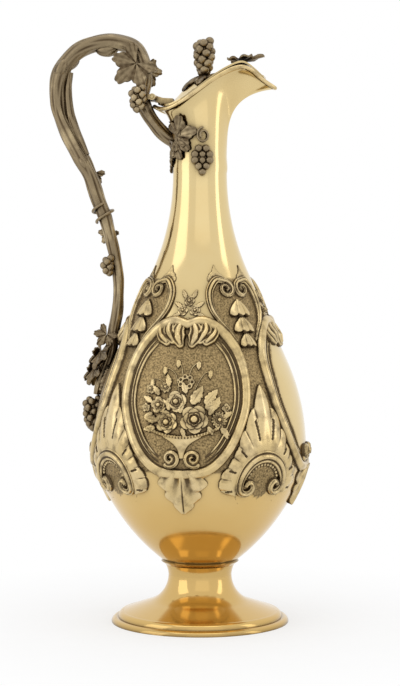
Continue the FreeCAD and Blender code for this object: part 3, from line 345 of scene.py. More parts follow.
def relief_geometry(half_span, low, high, height, step=COARSE):
    """Points, faces and shade of one motif: its raised face, a back sunk in the wall, and the edge."""
    turn_step = math.degrees(step / BELLY_RADIUS)
    degrees = np.arange(-half_span, half_span + turn_step, turn_step)
    heights = np.arange(low, high + step, step)
    U, Z = np.meshgrid(degrees, heights)
    lift = np.maximum(height(np.radians(U) * bowl_radius(Z), Z), UNDER)
    raised = np.maximum(lift, 0)
    hollow = np.clip((blurred(raised, BLUR_CELLS) - raised) * HOLLOW_GAIN, 0, 1)
    low_part = np.clip(1 - raised / LOW_LIFT, 0, 1) * LOW_SHADE
    shade = np.clip(hollow + low_part, 0, 1)
    quads = sheet_faces(*U.shape)
    quads = quads[lift.ravel()[quads].max(axis=1) > UNDER / 2]
    used, flat = np.unique(quads, return_inverse=True)
    faces = flat.reshape(-1, 4)
    top = on_bowl(U.ravel()[used], Z.ravel()[used], lift.ravel()[used])
    back = on_bowl(U.ravel()[used], Z.ravel()[used], np.full(len(used), BACK))
    count = len(used)
    edges = np.concatenate([faces[:, [k, (k + 1) % 4]] for k in range(4)])
    keys = edges[:, 0].astype(np.int64) * count + edges[:, 1]
    other = edges[:, 1].astype(np.int64) * count + edges[:, 0]
    rim = edges[~np.isin(keys, other)]
    walls = np.stack([rim[:, 1], rim[:, 0], rim[:, 0] + count, rim[:, 1] + count], axis=1)
    everything = np.concatenate([faces, faces[:, ::-1] + count, walls])
    shades = shade.ravel()[used]
    return np.concatenate([top, back]), everything, np.concatenate([shades, shades])


def placed(geometry, degrees):
    """A (points, faces, shade) set turned about the upright axis."""
    points, faces, shade = geometry
    turn = math.radians(degrees)
    spin = np.array([
        [math.cos(turn), math.sin(turn), 0],
        [-math.sin(turn), math.cos(turn), 0],
        [0, 0, 1],
    ])
    return points @ spin, faces, shade


def joined(parts):
    """Several (points, faces, shade) sets as one."""
    points, faces, shades, start = [], [], [], 0
    for part_points, part_faces, part_shade in parts:
        points.append(part_points)
        faces.append(part_faces + start)
        shades.append(part_shade)
        start += len(part_points)
    return np.concatenate(points), np.concatenate(faces), np.concatenate(shades)


def copies(geometry, turns):
    return joined([placed(geometry, turn) for turn in turns])


# Materials
def nodes_of(name, metallic):
    material = bpy.data.materials.new(name)
    material.use_nodes = True
    tree = material.node_tree
    shader = tree.nodes["Principled BSDF"]
    shader.inputs["Metallic"].default_value = metallic
    return material, tree, shader


def link(tree, source, target):
    tree.links.new(source, target)


def add(tree, kind, **values):
    """A node with some of its inputs set by name."""
    node = tree.nodes.new(kind)
    for key, value in values.items():
        node.inputs[key].default_value = value
    return node


def noise(tree, scale, detail=4.0):
    """Cloudy noise fixed to the piece, with scale in cells a metre."""
    coords = tree.nodes.new("ShaderNodeTexCoord")
    texture = add(tree, "ShaderNodeTexNoise", Scale=scale, Detail=detail, Roughness=0.55)
    link(tree, coords.outputs["Object"], texture.inputs["Vector"])
    return texture.outputs["Fac"]


def ramp(tree, value, low, high, first=0.0, last=1.0):
    """A value brought from one range to another and held there."""
    node = tree.nodes.new("ShaderNodeMapRange")
    node.clamp = True
    link(tree, value, node.inputs["Value"])
    for socket, number in (("From Min", low), ("From Max", high), ("To Min", first), ("To Max", last)):
        node.inputs[socket].default_value = number
    return node.outputs["Result"]


def math_node(tree, operation, one, two):
    node = tree.nodes.new("ShaderNodeMath")
    node.operation = operation
    for socket, value in zip(node.inputs, (one, two)):
        if isinstance(value, (int, float)):
            socket.default_value = value
        else:
            link(tree, value, socket)
    return node.outputs["Value"]


def times(tree, one, two):
    return math_node(tree, "MULTIPLY", one, two)


def plus(tree, one, two):
    return math_node(tree, "ADD", one, two)


def mix(tree, share, one, two):
    """A colour between two colours or two colour sockets."""
    node = tree.nodes.new("ShaderNodeMix")
    node.data_type = "RGBA"
    inputs = [socket for socket in node.inputs if socket.type == "RGBA"]
    for socket, value in zip(inputs, (one, two)):
        if isinstance(value, tuple):
            socket.default_value = (*value, 1.0)
        else:
            link(tree, value, socket)
    link(tree, share, node.inputs["Factor"])
    return [socket for socket in node.outputs if socket.type == "RGBA"][0]


def bump(tree, shader, heights, distance):
    node = add(tree, "ShaderNodeBump", Strength=1.0, Distance=distance)
    link(tree, heights, node.inputs["Height"])
    link(tree, node.outputs["Normal"], shader.inputs["Normal"])


def shade_value(tree):
    node = tree.nodes.new("ShaderNodeAttribute")
    node.attribute_name = "shade"
    return node.outputs["Fac"]


def corner_shadow(tree, reach):
    """Darkness in corners and under overhangs, from 0 to 1."""
    node = add(tree, "ShaderNodeAmbientOcclusion", Distance=reach)
    node.samples = 8
    return ramp(tree, node.outputs["AO"], 0.4, 0.97, 1.0, 0.0)


GOLD = (0.74, 0.585, 0.3)
PALE_GOLD = (0.82, 0.66, 0.39)
DEEP_GOLD = (0.62, 0.37, 0.09)
RELIEF_GOLD = (0.64, 0.485, 0.235)
# Brown-black for tarnish and for painted shade in hollows and corners
PATINA_AND_SHADE = (0.075, 0.048, 0.025)
MATTED = (0.46, 0.33, 0.155)
MATTED_PITS = tuple(0.3 * part for part in MATTED)
VINE = (0.26, 0.2, 0.12)
# In metres: heights where the painted warm floor reflection on polished gilding is full and gone, depths of
# fine bumps, reach of the painted corner shade, partly tarnish
WARM_REFLECTION_LOW, WARM_REFLECTION_HIGH = 0.06, 0.125
POLISH_BUMP, RELIEF_BUMP, GROUND_BUMP, VINE_BUMP = 0.00001, 0.00003, 0.00006, 0.00008
POLISH_SHADE_REACH, RELIEF_SHADE_REACH, VINE_SHADE_REACH = 0.01, 0.0065, 0.004


def low_down(tree, low, high):
    """1 near the floor, 0 from the upper height on, in metres."""
    place = tree.nodes.new("ShaderNodeNewGeometry")
    parts = tree.nodes.new("ShaderNodeSeparateXYZ")
    link(tree, place.outputs["Position"], parts.inputs["Vector"])
    return ramp(tree, parts.outputs["Z"], low, high, 1.0, 0.0)


def polished(name, with_ground):
    """Bright gilding with a faint cloudiness and fine scratches, a painted warm reflection of the floor low
    down, and painted shade in brown in the corners, partly tarnish.
    """
    material, tree, shader = nodes_of(name, 1.0)
    cloud = noise(tree, 28.0)
    fine = noise(tree, 900.0, 2.0)
    colour = mix(tree, ramp(tree, cloud, 0.35, 0.75, 0.0, 0.22), GOLD, DEEP_GOLD)
    # Painted warm reflection of the floor, strongest low on the bowl
    warm_reflection = times(tree, low_down(tree, WARM_REFLECTION_LOW, WARM_REFLECTION_HIGH), 0.62)
    colour = mix(tree, warm_reflection, colour, DEEP_GOLD)
    roughness = ramp(tree, cloud, 0.3, 0.8, 0.1, 0.17)
    if with_ground:
        # On the bowl the shade value is the matt ground mask, the ground's own finish
        ground = shade_value(tree)
        speckle = noise(tree, 1100.0, 2.0)
        matted = mix(tree, ramp(tree, speckle, 0.35, 0.65), MATTED, MATTED_PITS)
        colour = mix(tree, ground, colour, matted)
        roughness = plus(tree, roughness, times(tree, ground, 0.34))
        fine = times(tree, speckle, ground)
    # Painted shade in the corners, in brown, partly standing for tarnish
    colour = mix(tree, times(tree, corner_shadow(tree, POLISH_SHADE_REACH), 0.95), colour, PATINA_AND_SHADE)
    link(tree, colour, shader.inputs["Base Color"])
    link(tree, roughness, shader.inputs["Roughness"])
    bump(tree, shader, fine, GROUND_BUMP if with_ground else POLISH_BUMP)
    return material


def chased(name):
    """Pale gilding on the relief, turned brown-black in the hollows and corners by painted shade that partly
    stands for tarnish, with random tarnish patches.
    """
    material, tree, shader = nodes_of(name, 1.0)
    cloud = noise(tree, 60.0)
    grain = noise(tree, 1500.0, 3.0)
    # Painted shade: hollows and low parts from the shade value, and corners, partly tarnish
    corners = times(tree, corner_shadow(tree, RELIEF_SHADE_REACH), 1.1)
    dark = plus(tree, ramp(tree, shade_value(tree), 0.04, 0.36), corners)
    dark = times(tree, dark, ramp(tree, cloud, 0.2, 0.7, 0.75, 1.05))
    tarnish = noise(tree, 170.0)
    dark = plus(tree, dark, ramp(tree, tarnish, 0.48, 0.72, 0.0, 0.6))
    colour = mix(tree, ramp(tree, cloud, 0.4, 0.75, 0.0, 0.7), RELIEF_GOLD, PALE_GOLD)
    colour = mix(tree, ramp(tree, dark, 0.0, 1.0, 0.0, 0.95), colour, PATINA_AND_SHADE)
    link(tree, colour, shader.inputs["Base Color"])
    link(tree, ramp(tree, dark, 0.0, 1.0, 0.2, 0.45), shader.inputs["Roughness"])
    bump(tree, shader, grain, RELIEF_BUMP)
    return material


def antique(name):
    """Vine work: grey-brown tarnished gilding, with gold left on what is often touched, and painted shade in
    the bark's grooves, on the leaves and in corners.
    """
    material, tree, shader = nodes_of(name, 1.0)
    cloud = noise(tree, 75.0, 5.0)
    grain = noise(tree, 1100.0)
    # Painted shade in the bark's grooves, on the leaves and in corners
    corners = times(tree, corner_shadow(tree, VINE_SHADE_REACH), 0.8)
    dark = plus(tree, ramp(tree, shade_value(tree), 0.1, 0.9), corners)
    colour = mix(tree, ramp(tree, cloud, 0.5, 0.75, 0.0, 0.45), VINE, PALE_GOLD)
    colour = mix(tree, ramp(tree, dark, 0.0, 1.0, 0.0, 0.92), colour, PATINA_AND_SHADE)
    link(tree, colour, shader.inputs["Base Color"])
    link(tree, ramp(tree, grain, 0.3, 0.7, 0.3, 0.46), shader.inputs["Roughness"])
    bump(tree, shader, grain, VINE_BUMP)
    return material


gilt = polished("gilt", False)
gilt_bowl = polished("gilt_bowl", True)
relief_gilt = chased("relief_gilt")
vine_gilt = antique("vine_gilt")


# Bowl, with a matt punched ground in the cartouches and round the shells
FRAME_HALF = [
    (0, 178), (12, 180), (25, 174.5), (34.5, 163), (36.8, 149),
    (35, 133), (29.5, 118), (22.5, 105), (13, 96), (0, 93.8),
]
half_frame = smooth(flat_map(FRAME_HALF), 80)
frame_path = np.concatenate([half_frame, mirrored(half_frame[-2::-1])])
# Half width in degrees of the ground round the shells and straps, at each height
GROUND_HEIGHTS = [78, 84, 92, 97, 166, 170, 174, 180, 188, 196, 203, 205]
GROUND_HALVES = [0, 8, 9, 45, 45, 20, 15, 20, 25, 26, 20, 0]
WALL = 1.4
BOWL_SIDES = 280
RIM_RING = 0.02


def bowl_ground(degrees, heights):
    """1 where the bowl has the matt ground, 0 where it is polished."""
    from_centre = np.abs((degrees + 45) % 90 - 45)
    from_diagonal = np.abs(degrees % 90 - 45)
    spout_side = np.floor((degrees + 45) / 90) % 4 == 0
    sides = np.array(FRAME_HALF[::-1], float)[:-1]
    half = np.interp(heights, sides[:, 1], sides[:, 0], left=0, right=0)
    panel = (from_centre < half) & ~spout_side
    around = (from_centre > half) & (from_diagonal < np.interp(heights, GROUND_HEIGHTS, GROUND_HALVES))
    return (panel | around).astype(float)


def make_bowl():
    outer = np.append(np.linspace(BASE_HEIGHT, SEAM_HEIGHT - RIM_RING, 200), SEAM_HEIGHT)
    inner = np.linspace(SEAM_HEIGHT, BASE_HEIGHT + WALL, 40)
    outline = [(0.01, BASE_HEIGHT), *zip(bowl_radius(outer), outer)]
    outline += [*zip(bowl_radius(inner) - WALL, inner), (0.01, BASE_HEIGHT + WALL)]
    radii, heights = np.array(outline).T[:, :, None]
    turns = np.linspace(0, 2 * math.pi, BOWL_SIDES, endpoint=False)
    heights = heights * np.ones((1, BOWL_SIDES))
    points = np.stack([radii * np.cos(turns), radii * np.sin(turns), heights], axis=-1)
    ground = bowl_ground(np.degrees(turns) * np.ones_like(heights), heights)
    bowl = new_object("bowl", points.reshape(-1, 3), ring_faces(*heights.shape), ground.ravel())
    finish_piece(bowl, "vessel", gilt_bowl, "bowl_shell")


make_bowl()


# Relief on the bowl
def relief_piece(name, geometry, node):
    piece = new_object(name, *geometry)
    finish_piece(piece, "vessel", relief_gilt, node)


FRAME_ROLL = 2.9
CHANNEL_START, CHANNEL_END = 2.4, 7.6
FADE_START, FADE_LENGTH = 13, 9
# Thin lines inside the roll, as (distance, half width, lift)
FRAME_LINES = [(4.6, 0.5, 0.8), (7.0, 0.7, 1.3)]
# Leaves of the crest, as (degrees, height, swing, size)
CREST_LEAVES = [(3.4, 180, -2, 1.25), (12.4, 180.5, 8, 1.1), (20, 178, 17, 0.95)]
CREST_LENGTH = 10.5
CREST_BOW = 3.0
VOLUTE_SPOT = (5.8, 103.0)
VOLUTE_REACH, VOLUTE_EYE = 4.6, 1.0


def frame_height(X, Z):
    """A broad roll, a plain channel and two thin lines inside it, which fade out at the top and foot."""
    inward = -along_path(X, Z, frame_path)[0]
    fade = np.clip((np.abs(X) - FADE_START) / FADE_LENGTH, 0, 1)
    broad = FRAME_ROLL * roll(inward / FRAME_ROLL)
    floor = np.where((inward > CHANNEL_START) & (inward < CHANNEL_END), 0.1, UNDER)
    channel = floor * fade + UNDER * (1 - fade)
    lines = np.maximum.reduce([lift * roll((inward - far) / half) for far, half, lift in FRAME_LINES])
    return np.maximum.reduce([broad, channel, np.where(fade > 0.05, lines * fade, UNDER)])


def crest_height(X, Z):
    """Curled gadroon leaves that hang inside the frame's top, smaller towards the sides."""
    share = np.linspace(0, 1, 9)
    lifts = [1.6, 2.8, 3.4, 3.9, 2.8]
    lobes = []
    for turn, top, swing, size in CREST_LEAVES:
        degrees = turn + CREST_BOW * np.sin(math.pi * share) - 0.35 * swing * share
        path = flat_map(np.stack([degrees, top - CREST_LENGTH * size * share], axis=1))
        widths = [1.8, 2.8 * size, 3.6 * size, 4.0 * size, 2.6]
        lobes += [scroll(X, Z, side, widths, lifts, groove=0.35) for side in both_sides(path)]
    return highest(X, lobes)


def volute_height(X, Z):
    """A pair of curls, one on each side."""
    path = spiral(mapped(*VOLUTE_SPOT), VOLUTE_REACH, VOLUTE_EYE, -60, -1.5, 40)
    widths, lifts = [1.9, 1.5, 1.2], [2.0, 2.8, 3.4]
    return highest(X, [scroll(X, Z, side, widths, lifts, groove=0.25) for side in both_sides(path)])


frame_shape = relief_geometry(44, 89, 184, frame_height)
for name, turn in QUARTERS.items():
    relief_piece(f"frame_{name}", placed(frame_shape, turn), f"cartouche_frame_{name}")
crest_shape = relief_geometry(36, 158, 184, crest_height)
relief_piece("crests", copies(crest_shape, QUARTERS.values()), "cartouche_crests")
volute_shape = relief_geometry(14, 94, 112, volute_height)
relief_piece("volutes", copies(volute_shape, QUARTERS.values()), "cartouche_volutes")

# Flowers as (degrees, height, radius, petals)
FLOWERS = [
    (-13, 132.5, 4.8, 5), (-3.4, 134.5, 6.0, 4), (-10, 142.5, 3.2, 8), (-8, 123.2, 6.4, 6),
    (19.5, 124.5, 4.6, 14), (6.5, 124.8, 8.0, 5), (-19, 141.5, 3.0, 5), (23.5, 131, 2.6, 4),
    (-20.5, 131, 2.6, 5),
]
# Leaves as (degrees, height, way, length)
LEAVES = [
    (-13, 124, 172, 9), (-14, 120, 190, 8), (-17, 134, 150, 7), (5, 133, 60, 12), (12, 133, 50, 11),
    (12, 131, 20, 10), (22, 126, 30, 6), (-8, 143, 100, 7), (20, 120, -40, 7), (22, 119, -70, 6),
    (0, 120, -70, 6), (-1, 128, 80, 7), (13.5, 121, -60, 6), (14, 127, 60, 7), (-7, 129.5, 100, 6),
    (-16, 128, 200, 6), (2, 139, 110, 7), (-13, 138, 130, 7), (17, 130, 70, 8),
]
# Thin sprays as runs of (degrees, height)
SPRAYS = [
    [(-2, 138), (-5, 150), (-12, 154)], [(0, 138), (-1, 152), (-4, 158)], [(2, 138), (4, 152), (9, 157)],
    [(5, 138), (11, 149), (16, 152)], [(-6, 137), (-13, 146), (-19, 147)],
]
BASKET_RIM, DISH_TOP, RIM_RISE = 114.8, 114.0, 4.6
RIM_TURN = 18.5
BEAD_PITCH = 1.7
BASKET_DEPTH = 11
BERRIES = 7
BERRY_STEP = 0.9


def basket_body(X, Z):
    """A trumpet-shaped dish under a beaded rim that rises to its ends."""
    turns = np.linspace(-RIM_TURN, RIM_TURN, 15)
    rim_path = flat_map([(turn, BASKET_RIM + RIM_RISE * (turn / 18) ** 2) for turn in turns])
    far, run, _ = along_path(X, Z, rim_path)
    rim = (1.9 + 0.5 * np.cos(run * 2 * math.pi / BEAD_PITCH)) * roll(far / 1.25)
    below = DISH_TOP + RIM_RISE * (X / 19.5) ** 2 - Z
    trumpet = 1.6 + 13.0 * np.exp(-np.clip(below, 0, None) / 2.6)
    dish = 1.3 * np.sqrt(np.clip(1 - (X / trumpet) ** 2, 0, 1)) + 0.3
    inside = (below > 0) & (below < BASKET_DEPTH) & (np.abs(X) < trumpet)
    return np.maximum(rim, np.where(inside, dish, UNDER))


def berry(X, Z, number):
    """One hollow berry of a ring."""
    turn = BERRY_STEP * number
    spot = (1.5 + 3.4 * math.cos(turn), 145.5 + 3.0 * math.sin(turn))
    return dome(X, Z, spot, 1.8, 1.6) - 1.2 * np.clip(dome(X, Z, spot, 0.9, 1.0), 0, None)


def basket_height(X, Z):
    """A low basket full of flowers, leaves, berries and thin sprays."""
    shapes = [basket_body(X, Z)]
    for spots in SPRAYS:
        path = smooth(flat_map(spots), 12)
        shapes.append(scroll(X, Z, path, [0.35, 0.35], [0.7, 0.7]))
        shapes.append(leaf(X, Z, path[-1], -90, 5.0, 1.7, 1.3, teeth=2))
    for degrees, high, way, length in LEAVES:
        shapes.append(leaf(X, Z, mapped(degrees, high), way, length, 0.32 * length, 1.7))
    for degrees, high, radius, count in FLOWERS:
        lift = 0.3 * radius + 1.5
        # The flower's place also turns its petals, so that flowers differ
        shapes.append(petals(X, Z, mapped(degrees, high), radius, lift, count, phase=degrees, rows=3))
    shapes += [berry(X, Z, number) for number in range(BERRIES)]
    return highest(X, shapes)


basket_shape = relief_geometry(26, 101, 162, basket_height, FINE)
for name in ("front", "back"):
    relief_piece(f"basket_{name}", placed(basket_shape, QUARTERS[name]), f"flower_basket_{name}")

# Small flowers above the frames, leaves as (degrees, height, way) and flowers as (degrees, height)
SPRAY_LEAVES = [
    (-6, 188, 150), (6, 188, 30), (-3, 193, 115), (3, 193, 65), (0, 182, 270), (-7, 184, 200), (7, 184, -20),
]
SPRAY_FLOWERS = [(-5.2, 186), (5.2, 186), (0, 191.5)]


def spray_height(X, Z):
    shapes = [leaf(X, Z, mapped(degrees, high), way, 5.5, 1.5, 1.1) for degrees, high, way in SPRAY_LEAVES]
    shapes += [petals(X, Z, mapped(*spot), 3.1, 1.7, 5) for spot in SPRAY_FLOWERS]
    return highest(X, shapes)


spray_shape = relief_geometry(15, 175, 203, spray_height, FINE)
relief_piece("sprays", copies(spray_shape, QUARTERS.values()), "flower_sprays")

# Shells and the arches under them; the shell's reach from the arch's centre goes with the turn from upright
ARCH_CENTRE = 88.0
SHELL_TURNS = [0, 7.5, 21, 42, 62, 82, 98, 112]
SHELL_REACH = [56, 45, 35, 27, 25.4, 27.8, 26.5, 17.3]
SHELL_INNER = 17
ARCH_REACH = 15.2
TOOTH_REACH = 10.6


def shell_height(X, Z):
    """A fluted spade of lobes that fan out from the arch."""
    up = Z - ARCH_CENTRE
    far = np.hypot(X, up)
    turn = np.abs(np.degrees(np.arctan2(X, up)))
    flute = np.abs(np.cos(np.radians(turn * 12)))
    edge = np.interp(turn, SHELL_TURNS, SHELL_REACH) * (0.95 + 0.05 * np.sqrt(flute))
    part = np.clip((far - SHELL_INNER) / (edge - SHELL_INNER), 0, 1)
    slit = np.abs(np.cos(np.radians(turn * 6 + 30))) < 0.13
    cut = np.where(slit & (part > 0.3) & (part < 0.75), 0.9, 0.0)
    rippled = (0.35 + 0.65 * flute ** 0.7) * part ** 1.5 + 1 - part ** 1.5
    height = 0.4 + 2.1 * rippled * np.sin(math.pi * (0.18 + 0.66 * part)) - cut
    inside = (far < edge) & (far > SHELL_INNER - 0.5) & (turn < SHELL_TURNS[-1])
    outside = np.where(far > SHELL_INNER, np.maximum(edge - far, UNDER), UNDER)
    return np.where(inside, np.maximum(height, 0.1), outside)


def arch_height(X, Z):
    """A grooved scroll over the top that curls in at both ends, with a toothed lower edge."""
    turns = np.radians(np.linspace(184, 90, 14))
    path = np.stack([ARCH_REACH * np.cos(turns), ARCH_CENTRE + ARCH_REACH * np.sin(turns)], axis=1)
    curl = spiral((-9.6, ARCH_CENTRE - 1.5), 5.2, 1.4, 190, 0.9, 18)
    half = np.concatenate([curl[::-1], path[1:]])
    whole = np.concatenate([half, mirrored(half[-2::-1])])
    widths = [1.3, 2.2, 3.7, 3.9, 3.7, 2.2, 1.3]
    lifts = [3.0, 2.8, 3.2, 3.3, 3.2, 2.8, 3.0]
    shapes = [scroll(X, Z, whole, widths, lifts, groove=0.35)]
    for turn in np.radians(np.linspace(20, 160, 13)):
        tooth = (TOOTH_REACH * math.cos(turn), ARCH_CENTRE + TOOTH_REACH * math.sin(turn))
        shapes.append(dome(X, Z, tooth, 1.1, 1.2))
    return highest(X, shapes)


shell_shape = relief_geometry(27, 76, 146, shell_height)
for name, turn in DIAGONALS.items():
    relief_piece(f"fan_{name}", placed(shell_shape, turn), f"shell_{name}")
arch_shape = relief_geometry(21, 79, 110, arch_height)
relief_piece("arches", copies(arch_shape, DIAGONALS.values()), "shell_arches")

# Leaves that hang under the frames
DROP_TOP, DROP_LENGTH, DROP_HALF = 95.5, 24.0, 17.5
FLUTE_CENTRE = 104


def drop_height(X, Z):
    """An acanthus leaf whose rounded lobes step down to its tip."""
    down = (DROP_TOP - Z) / DROP_LENGTH
    scallop = np.abs(np.cos(3.2 * math.pi * np.clip(down, 0, 1)))
    half = DROP_HALF * np.clip(1 - down, 0.001, 1) ** 0.55 * (0.78 + 0.22 * scallop)
    across = np.abs(X) / half
    flute = 0.5 + 0.5 * np.cos(14 * np.arctan2(X, FLUTE_CENTRE - Z))
    bulge = np.sqrt(np.clip(1 - across ** 2, 0, 1))
    midrib = np.exp(-(X / 0.5) ** 2)
    height = 0.5 + (1.0 + 1.9 * flute) * bulge - 0.8 * midrib
    inside = (down > 0) & (down < 1) & (across < 1)
    return np.where(inside, np.maximum(height, 0.1), UNDER)


drop_shape = relief_geometry(19, 69, 96, drop_height, FINE)
for name, turn in QUARTERS.items():
    relief_piece(f"drop_{name}", placed(drop_shape, turn), f"leaf_drop_{name}")

# Straps on the shoulder as a run of (degrees, height), and the tufts above them as (degrees, way, length)
STRAP_RUN = [
    (-12.5, 203.2), (-19.5, 203.2), (-26.5, 196.5), (-25.8, 188), (-20.5, 180.5), (-12.5, 173.5),
    (-8.8, 169),
]
STRAP_EYE = (-9.5, 198.2)
TUFTS = [(27, 128, 8), (20.5, 104, 10), (14, 80, 9), (8, 56, 6.5)]
TUFT_HEIGHT = 203.0
# Bell flowers as (top, length, half width in degrees)
BELLS = [(191.5, 8.6, 10.0), (181.9, 8.4, 9.0), (172.6, 7.4, 6.6)]


def strap_height(X, Z):
    """A pair of scroll straps with a curled top, and engraved tufts above them."""
    curl = spiral(mapped(*STRAP_EYE), 4.7, 1.0, 95, -1.4, 30)
    path = np.concatenate([curl[::-1], smooth(flat_map(STRAP_RUN), 30)])
    widths = [0.9, 1.3, 2.0, 2.2, 2.0, 1.5, 0.9]
    lifts = [2.6, 2.2, 2.4, 2.8, 2.6, 2.2, 1.2]
    shapes = [scroll(X, Z, side, widths, lifts, groove=0.4) for side in both_sides(path)]
    for degrees, way, length in TUFTS:
        base = mapped(degrees, TUFT_HEIGHT)
        for side in (-1, 1):
            foot = (side * base[0], base[1])
            shapes.append(leaf(X, Z, foot, 90 + side * (way - 90), length, 1.5, 0.7, teeth=2))
    return highest(X, shapes)


def bell_height(X, Z):
    """Bell flowers in a string, each with three petals."""
    shapes = []
    for top, tall, half in BELLS:
        wide = math.radians(half) * bowl_radius(top - tall)
        down = (top - Z) / tall
        half_width = wide * (0.25 + 0.75 * np.sin(math.pi / 2 * np.clip(1.1 * down, 0, 1))) + 0.01
        across = X / half_width
        end = 0.93 + 0.14 * np.abs(np.cos(1.5 * math.pi * across))
        rib = 0.5 * np.exp(-((np.abs(across) - 0.34) / 0.09) ** 2)
        bulge = 2.5 * np.sqrt(np.clip(1 - across ** 2, 0, 1)) - rib
        bell = 0.7 + bulge * (0.4 + 0.6 * np.clip(down, 0, 1))
        inside = (down > 0) & (down < end) & (np.abs(across) < 1)
        shapes.append(np.where(inside, bell, UNDER))
        shapes.append(dome(X, Z, (0, top), 1.2, 1.6))
    return highest(X, shapes)


strap_shape = relief_geometry(36, 165, 221, strap_height)
bell_shape = relief_geometry(13, 163, 194, bell_height, FINE)
for name, turn in DIAGONALS.items():
    relief_piece(f"strap_{name}", placed(strap_shape, turn), f"strap_pair_{name}")
    relief_piece(f"bells_{name}", placed(bell_shape, turn), f"bell_drops_{name}")

# Vine handle: shares of the way out from the neck, of the way up from the lower end, and of the thickness
ROOT_REACH, HANDLE_REACH = NECK_RADIUS + 1.2, 88.0
HANDLE_END, HANDLE_TOP = 161.0, 348.0
BRANCH_RADIUS = 4.9
BRANCH_SHARES = np.array([
    (-0.03, 0.674, 0.8), (0.05, 0.694, 0.86), (0.13, 0.727, 0.88), (0.21, 0.772, 0.9),
    (0.255, 0.821, 0.9), (0.232, 0.876, 0.92), (0.25, 0.934, 0.98), (0.33, 0.98, 0.98),
    (0.48, 1.0, 1.0), (0.645, 0.998, 1.0), (0.80, 0.977, 1.0), (0.92, 0.935, 1.0),
    (0.985, 0.885, 0.95), (1.0, 0.828, 0.9), (0.975, 0.768, 0.92), (0.9, 0.702, 0.98),
    (0.8, 0.631, 0.98), (0.705, 0.565, 0.9), (0.635, 0.487, 0.86), (0.575, 0.431, 0.84),
    (0.53, 0.369, 0.78), (0.495, 0.311, 0.74), (0.465, 0.24, 0.68), (0.462, 0.182, 0.66),
    (0.475, 0.124, 0.68), (0.5, 0.068, 0.72), (0.525, 0.0, 0.74), (0.57, -0.05, 0.7),
    (0.625, -0.1, 0.6), (0.655, -0.14, 0.35),
])
STEM_SHARES = np.array([
    (0.885, 0.905), (0.905, 0.855), (0.902, 0.806), (0.878, 0.757), (0.822, 0.702), (0.74, 0.636),
])
# Burrs as (share out, share up, share of the branch's radius to the side, radius)
BURRS = [
    (0.955, 0.918, -0.8, 4.2), (0.76, 0.61, -0.8, 3.0), (0.56, 0.962, 0.0, 4.6), (0.87, 0.935, 0.8, 4.0),
]
BRANCH_STEPS, STEM_STEPS, BURR_STEPS = 420, 120, 24
FORWARD = np.array([0.0, -1.0, 0.0])
# Ridges of the bark as (count round, depth, twist a step)
BARK_RIDGES = ((5, 0.055, 0.05), (9, 0.04, -0.035), (14, 0.025, 0.02))


def branch_spot(reach_share, rise_share, side=0.0):
    out = ROOT_REACH + (HANDLE_REACH - ROOT_REACH) * reach_share
    return np.array([-out, side, HANDLE_END + (HANDLE_TOP - HANDLE_END) * rise_share])


def tube(path, radii, sides, ridges=()):
    """A rod along a path, closed at its ends, with ridges that run lengthwise."""
    ahead = np.gradient(path, axis=0)
    ahead /= np.linalg.norm(ahead, axis=1, keepdims=True)
    across = FORWARD - ahead * (ahead @ FORWARD)[:, None]
    across /= np.linalg.norm(across, axis=1, keepdims=True)
    upward = np.cross(ahead, across)
    turns = np.linspace(0, 2 * math.pi, sides, endpoint=False)[None, :]
    step = np.arange(len(path))[:, None]
    relief = np.zeros((len(path), sides))
    for count, depth, twist in ridges:
        relief += depth * np.sin(count * turns + twist * step + np.sin(step * 0.11 + count))
    reach = np.asarray(radii)[:, None] * (1 + relief)
    points = path[:, None] + across[:, None] * (reach * np.cos(turns))[..., None]
    points = points + upward[:, None] * (reach * np.sin(turns))[..., None]
    shade = np.clip(-relief * 9, 0, 1)
    first, last = points[..., 0].size, points[..., 0].size + 1
    start_ring = np.arange(sides)
    end_ring = start_ring + (len(path) - 1) * sides
    ends = [(one, two, first, first) for one, two in zip(start_ring, np.roll(start_ring, -1))]
    ends += [(two, one, last, last) for one, two in zip(end_ring, np.roll(end_ring, -1))]
    faces = np.concatenate([ring_faces(len(path), sides)[:, OTHER_WAY], ends])
    all_points = np.concatenate([points.reshape(-1, 3), [path[0], path[-1]]])
    return all_points, faces, np.concatenate([shade.ravel(), [0, 0]])


def vine_piece(name, geometry, body, node):
    piece = new_object(name, *geometry)
    piece.data.validate()
    finish_piece(piece, body, vine_gilt, node)


branch_line = smooth([branch_spot(*share[:2]) for share in BRANCH_SHARES], BRANCH_STEPS)
size_run = np.stack([np.arange(len(BRANCH_SHARES)), BRANCH_SHARES[:, 2]], axis=1)
branch_sizes = BRANCH_RADIUS * smooth(size_run, BRANCH_STEPS)[:, 1]
steps = np.arange(BRANCH_STEPS)
lumps = 1 + 0.05 * np.sin(steps * 0.19) * np.sin(steps * 0.071)
branch_shape = tube(branch_line, branch_sizes * lumps, 48, BARK_RIDGES)
vine_piece("branch", branch_shape, "vessel", "handle_branch")
stem_line = smooth([branch_spot(*share) for share in STEM_SHARES], STEM_STEPS)
stem_sizes = BRANCH_RADIUS * (0.35 + 0.22 * np.sin(math.pi * np.linspace(0, 1, STEM_STEPS)))
vine_piece("second_stem", tube(stem_line, stem_sizes, 32, BARK_RIDGES), "vessel", "handle_second_stem")


def burr(reach_share, rise_share, side_share, radius):
    """A short swelling that runs along the bark."""
    centre = branch_spot(reach_share, rise_share, side_share * BRANCH_RADIUS)
    near = np.argmin(np.linalg.norm(branch_line - centre, axis=1))
    ahead = branch_line[near + 2] - branch_line[near - 2]
    ahead /= np.linalg.norm(ahead)
    share = np.linspace(-1, 1, BURR_STEPS)
    inward = branch_line[near] - centre
    path = centre + inward * (0.3 + 0.25 * share ** 2)[:, None] + ahead * (1.5 * radius * share)[:, None]
    return tube(path, 0.05 + 0.85 * radius * np.sqrt(1 - share ** 2), 24, BARK_RIDGES)


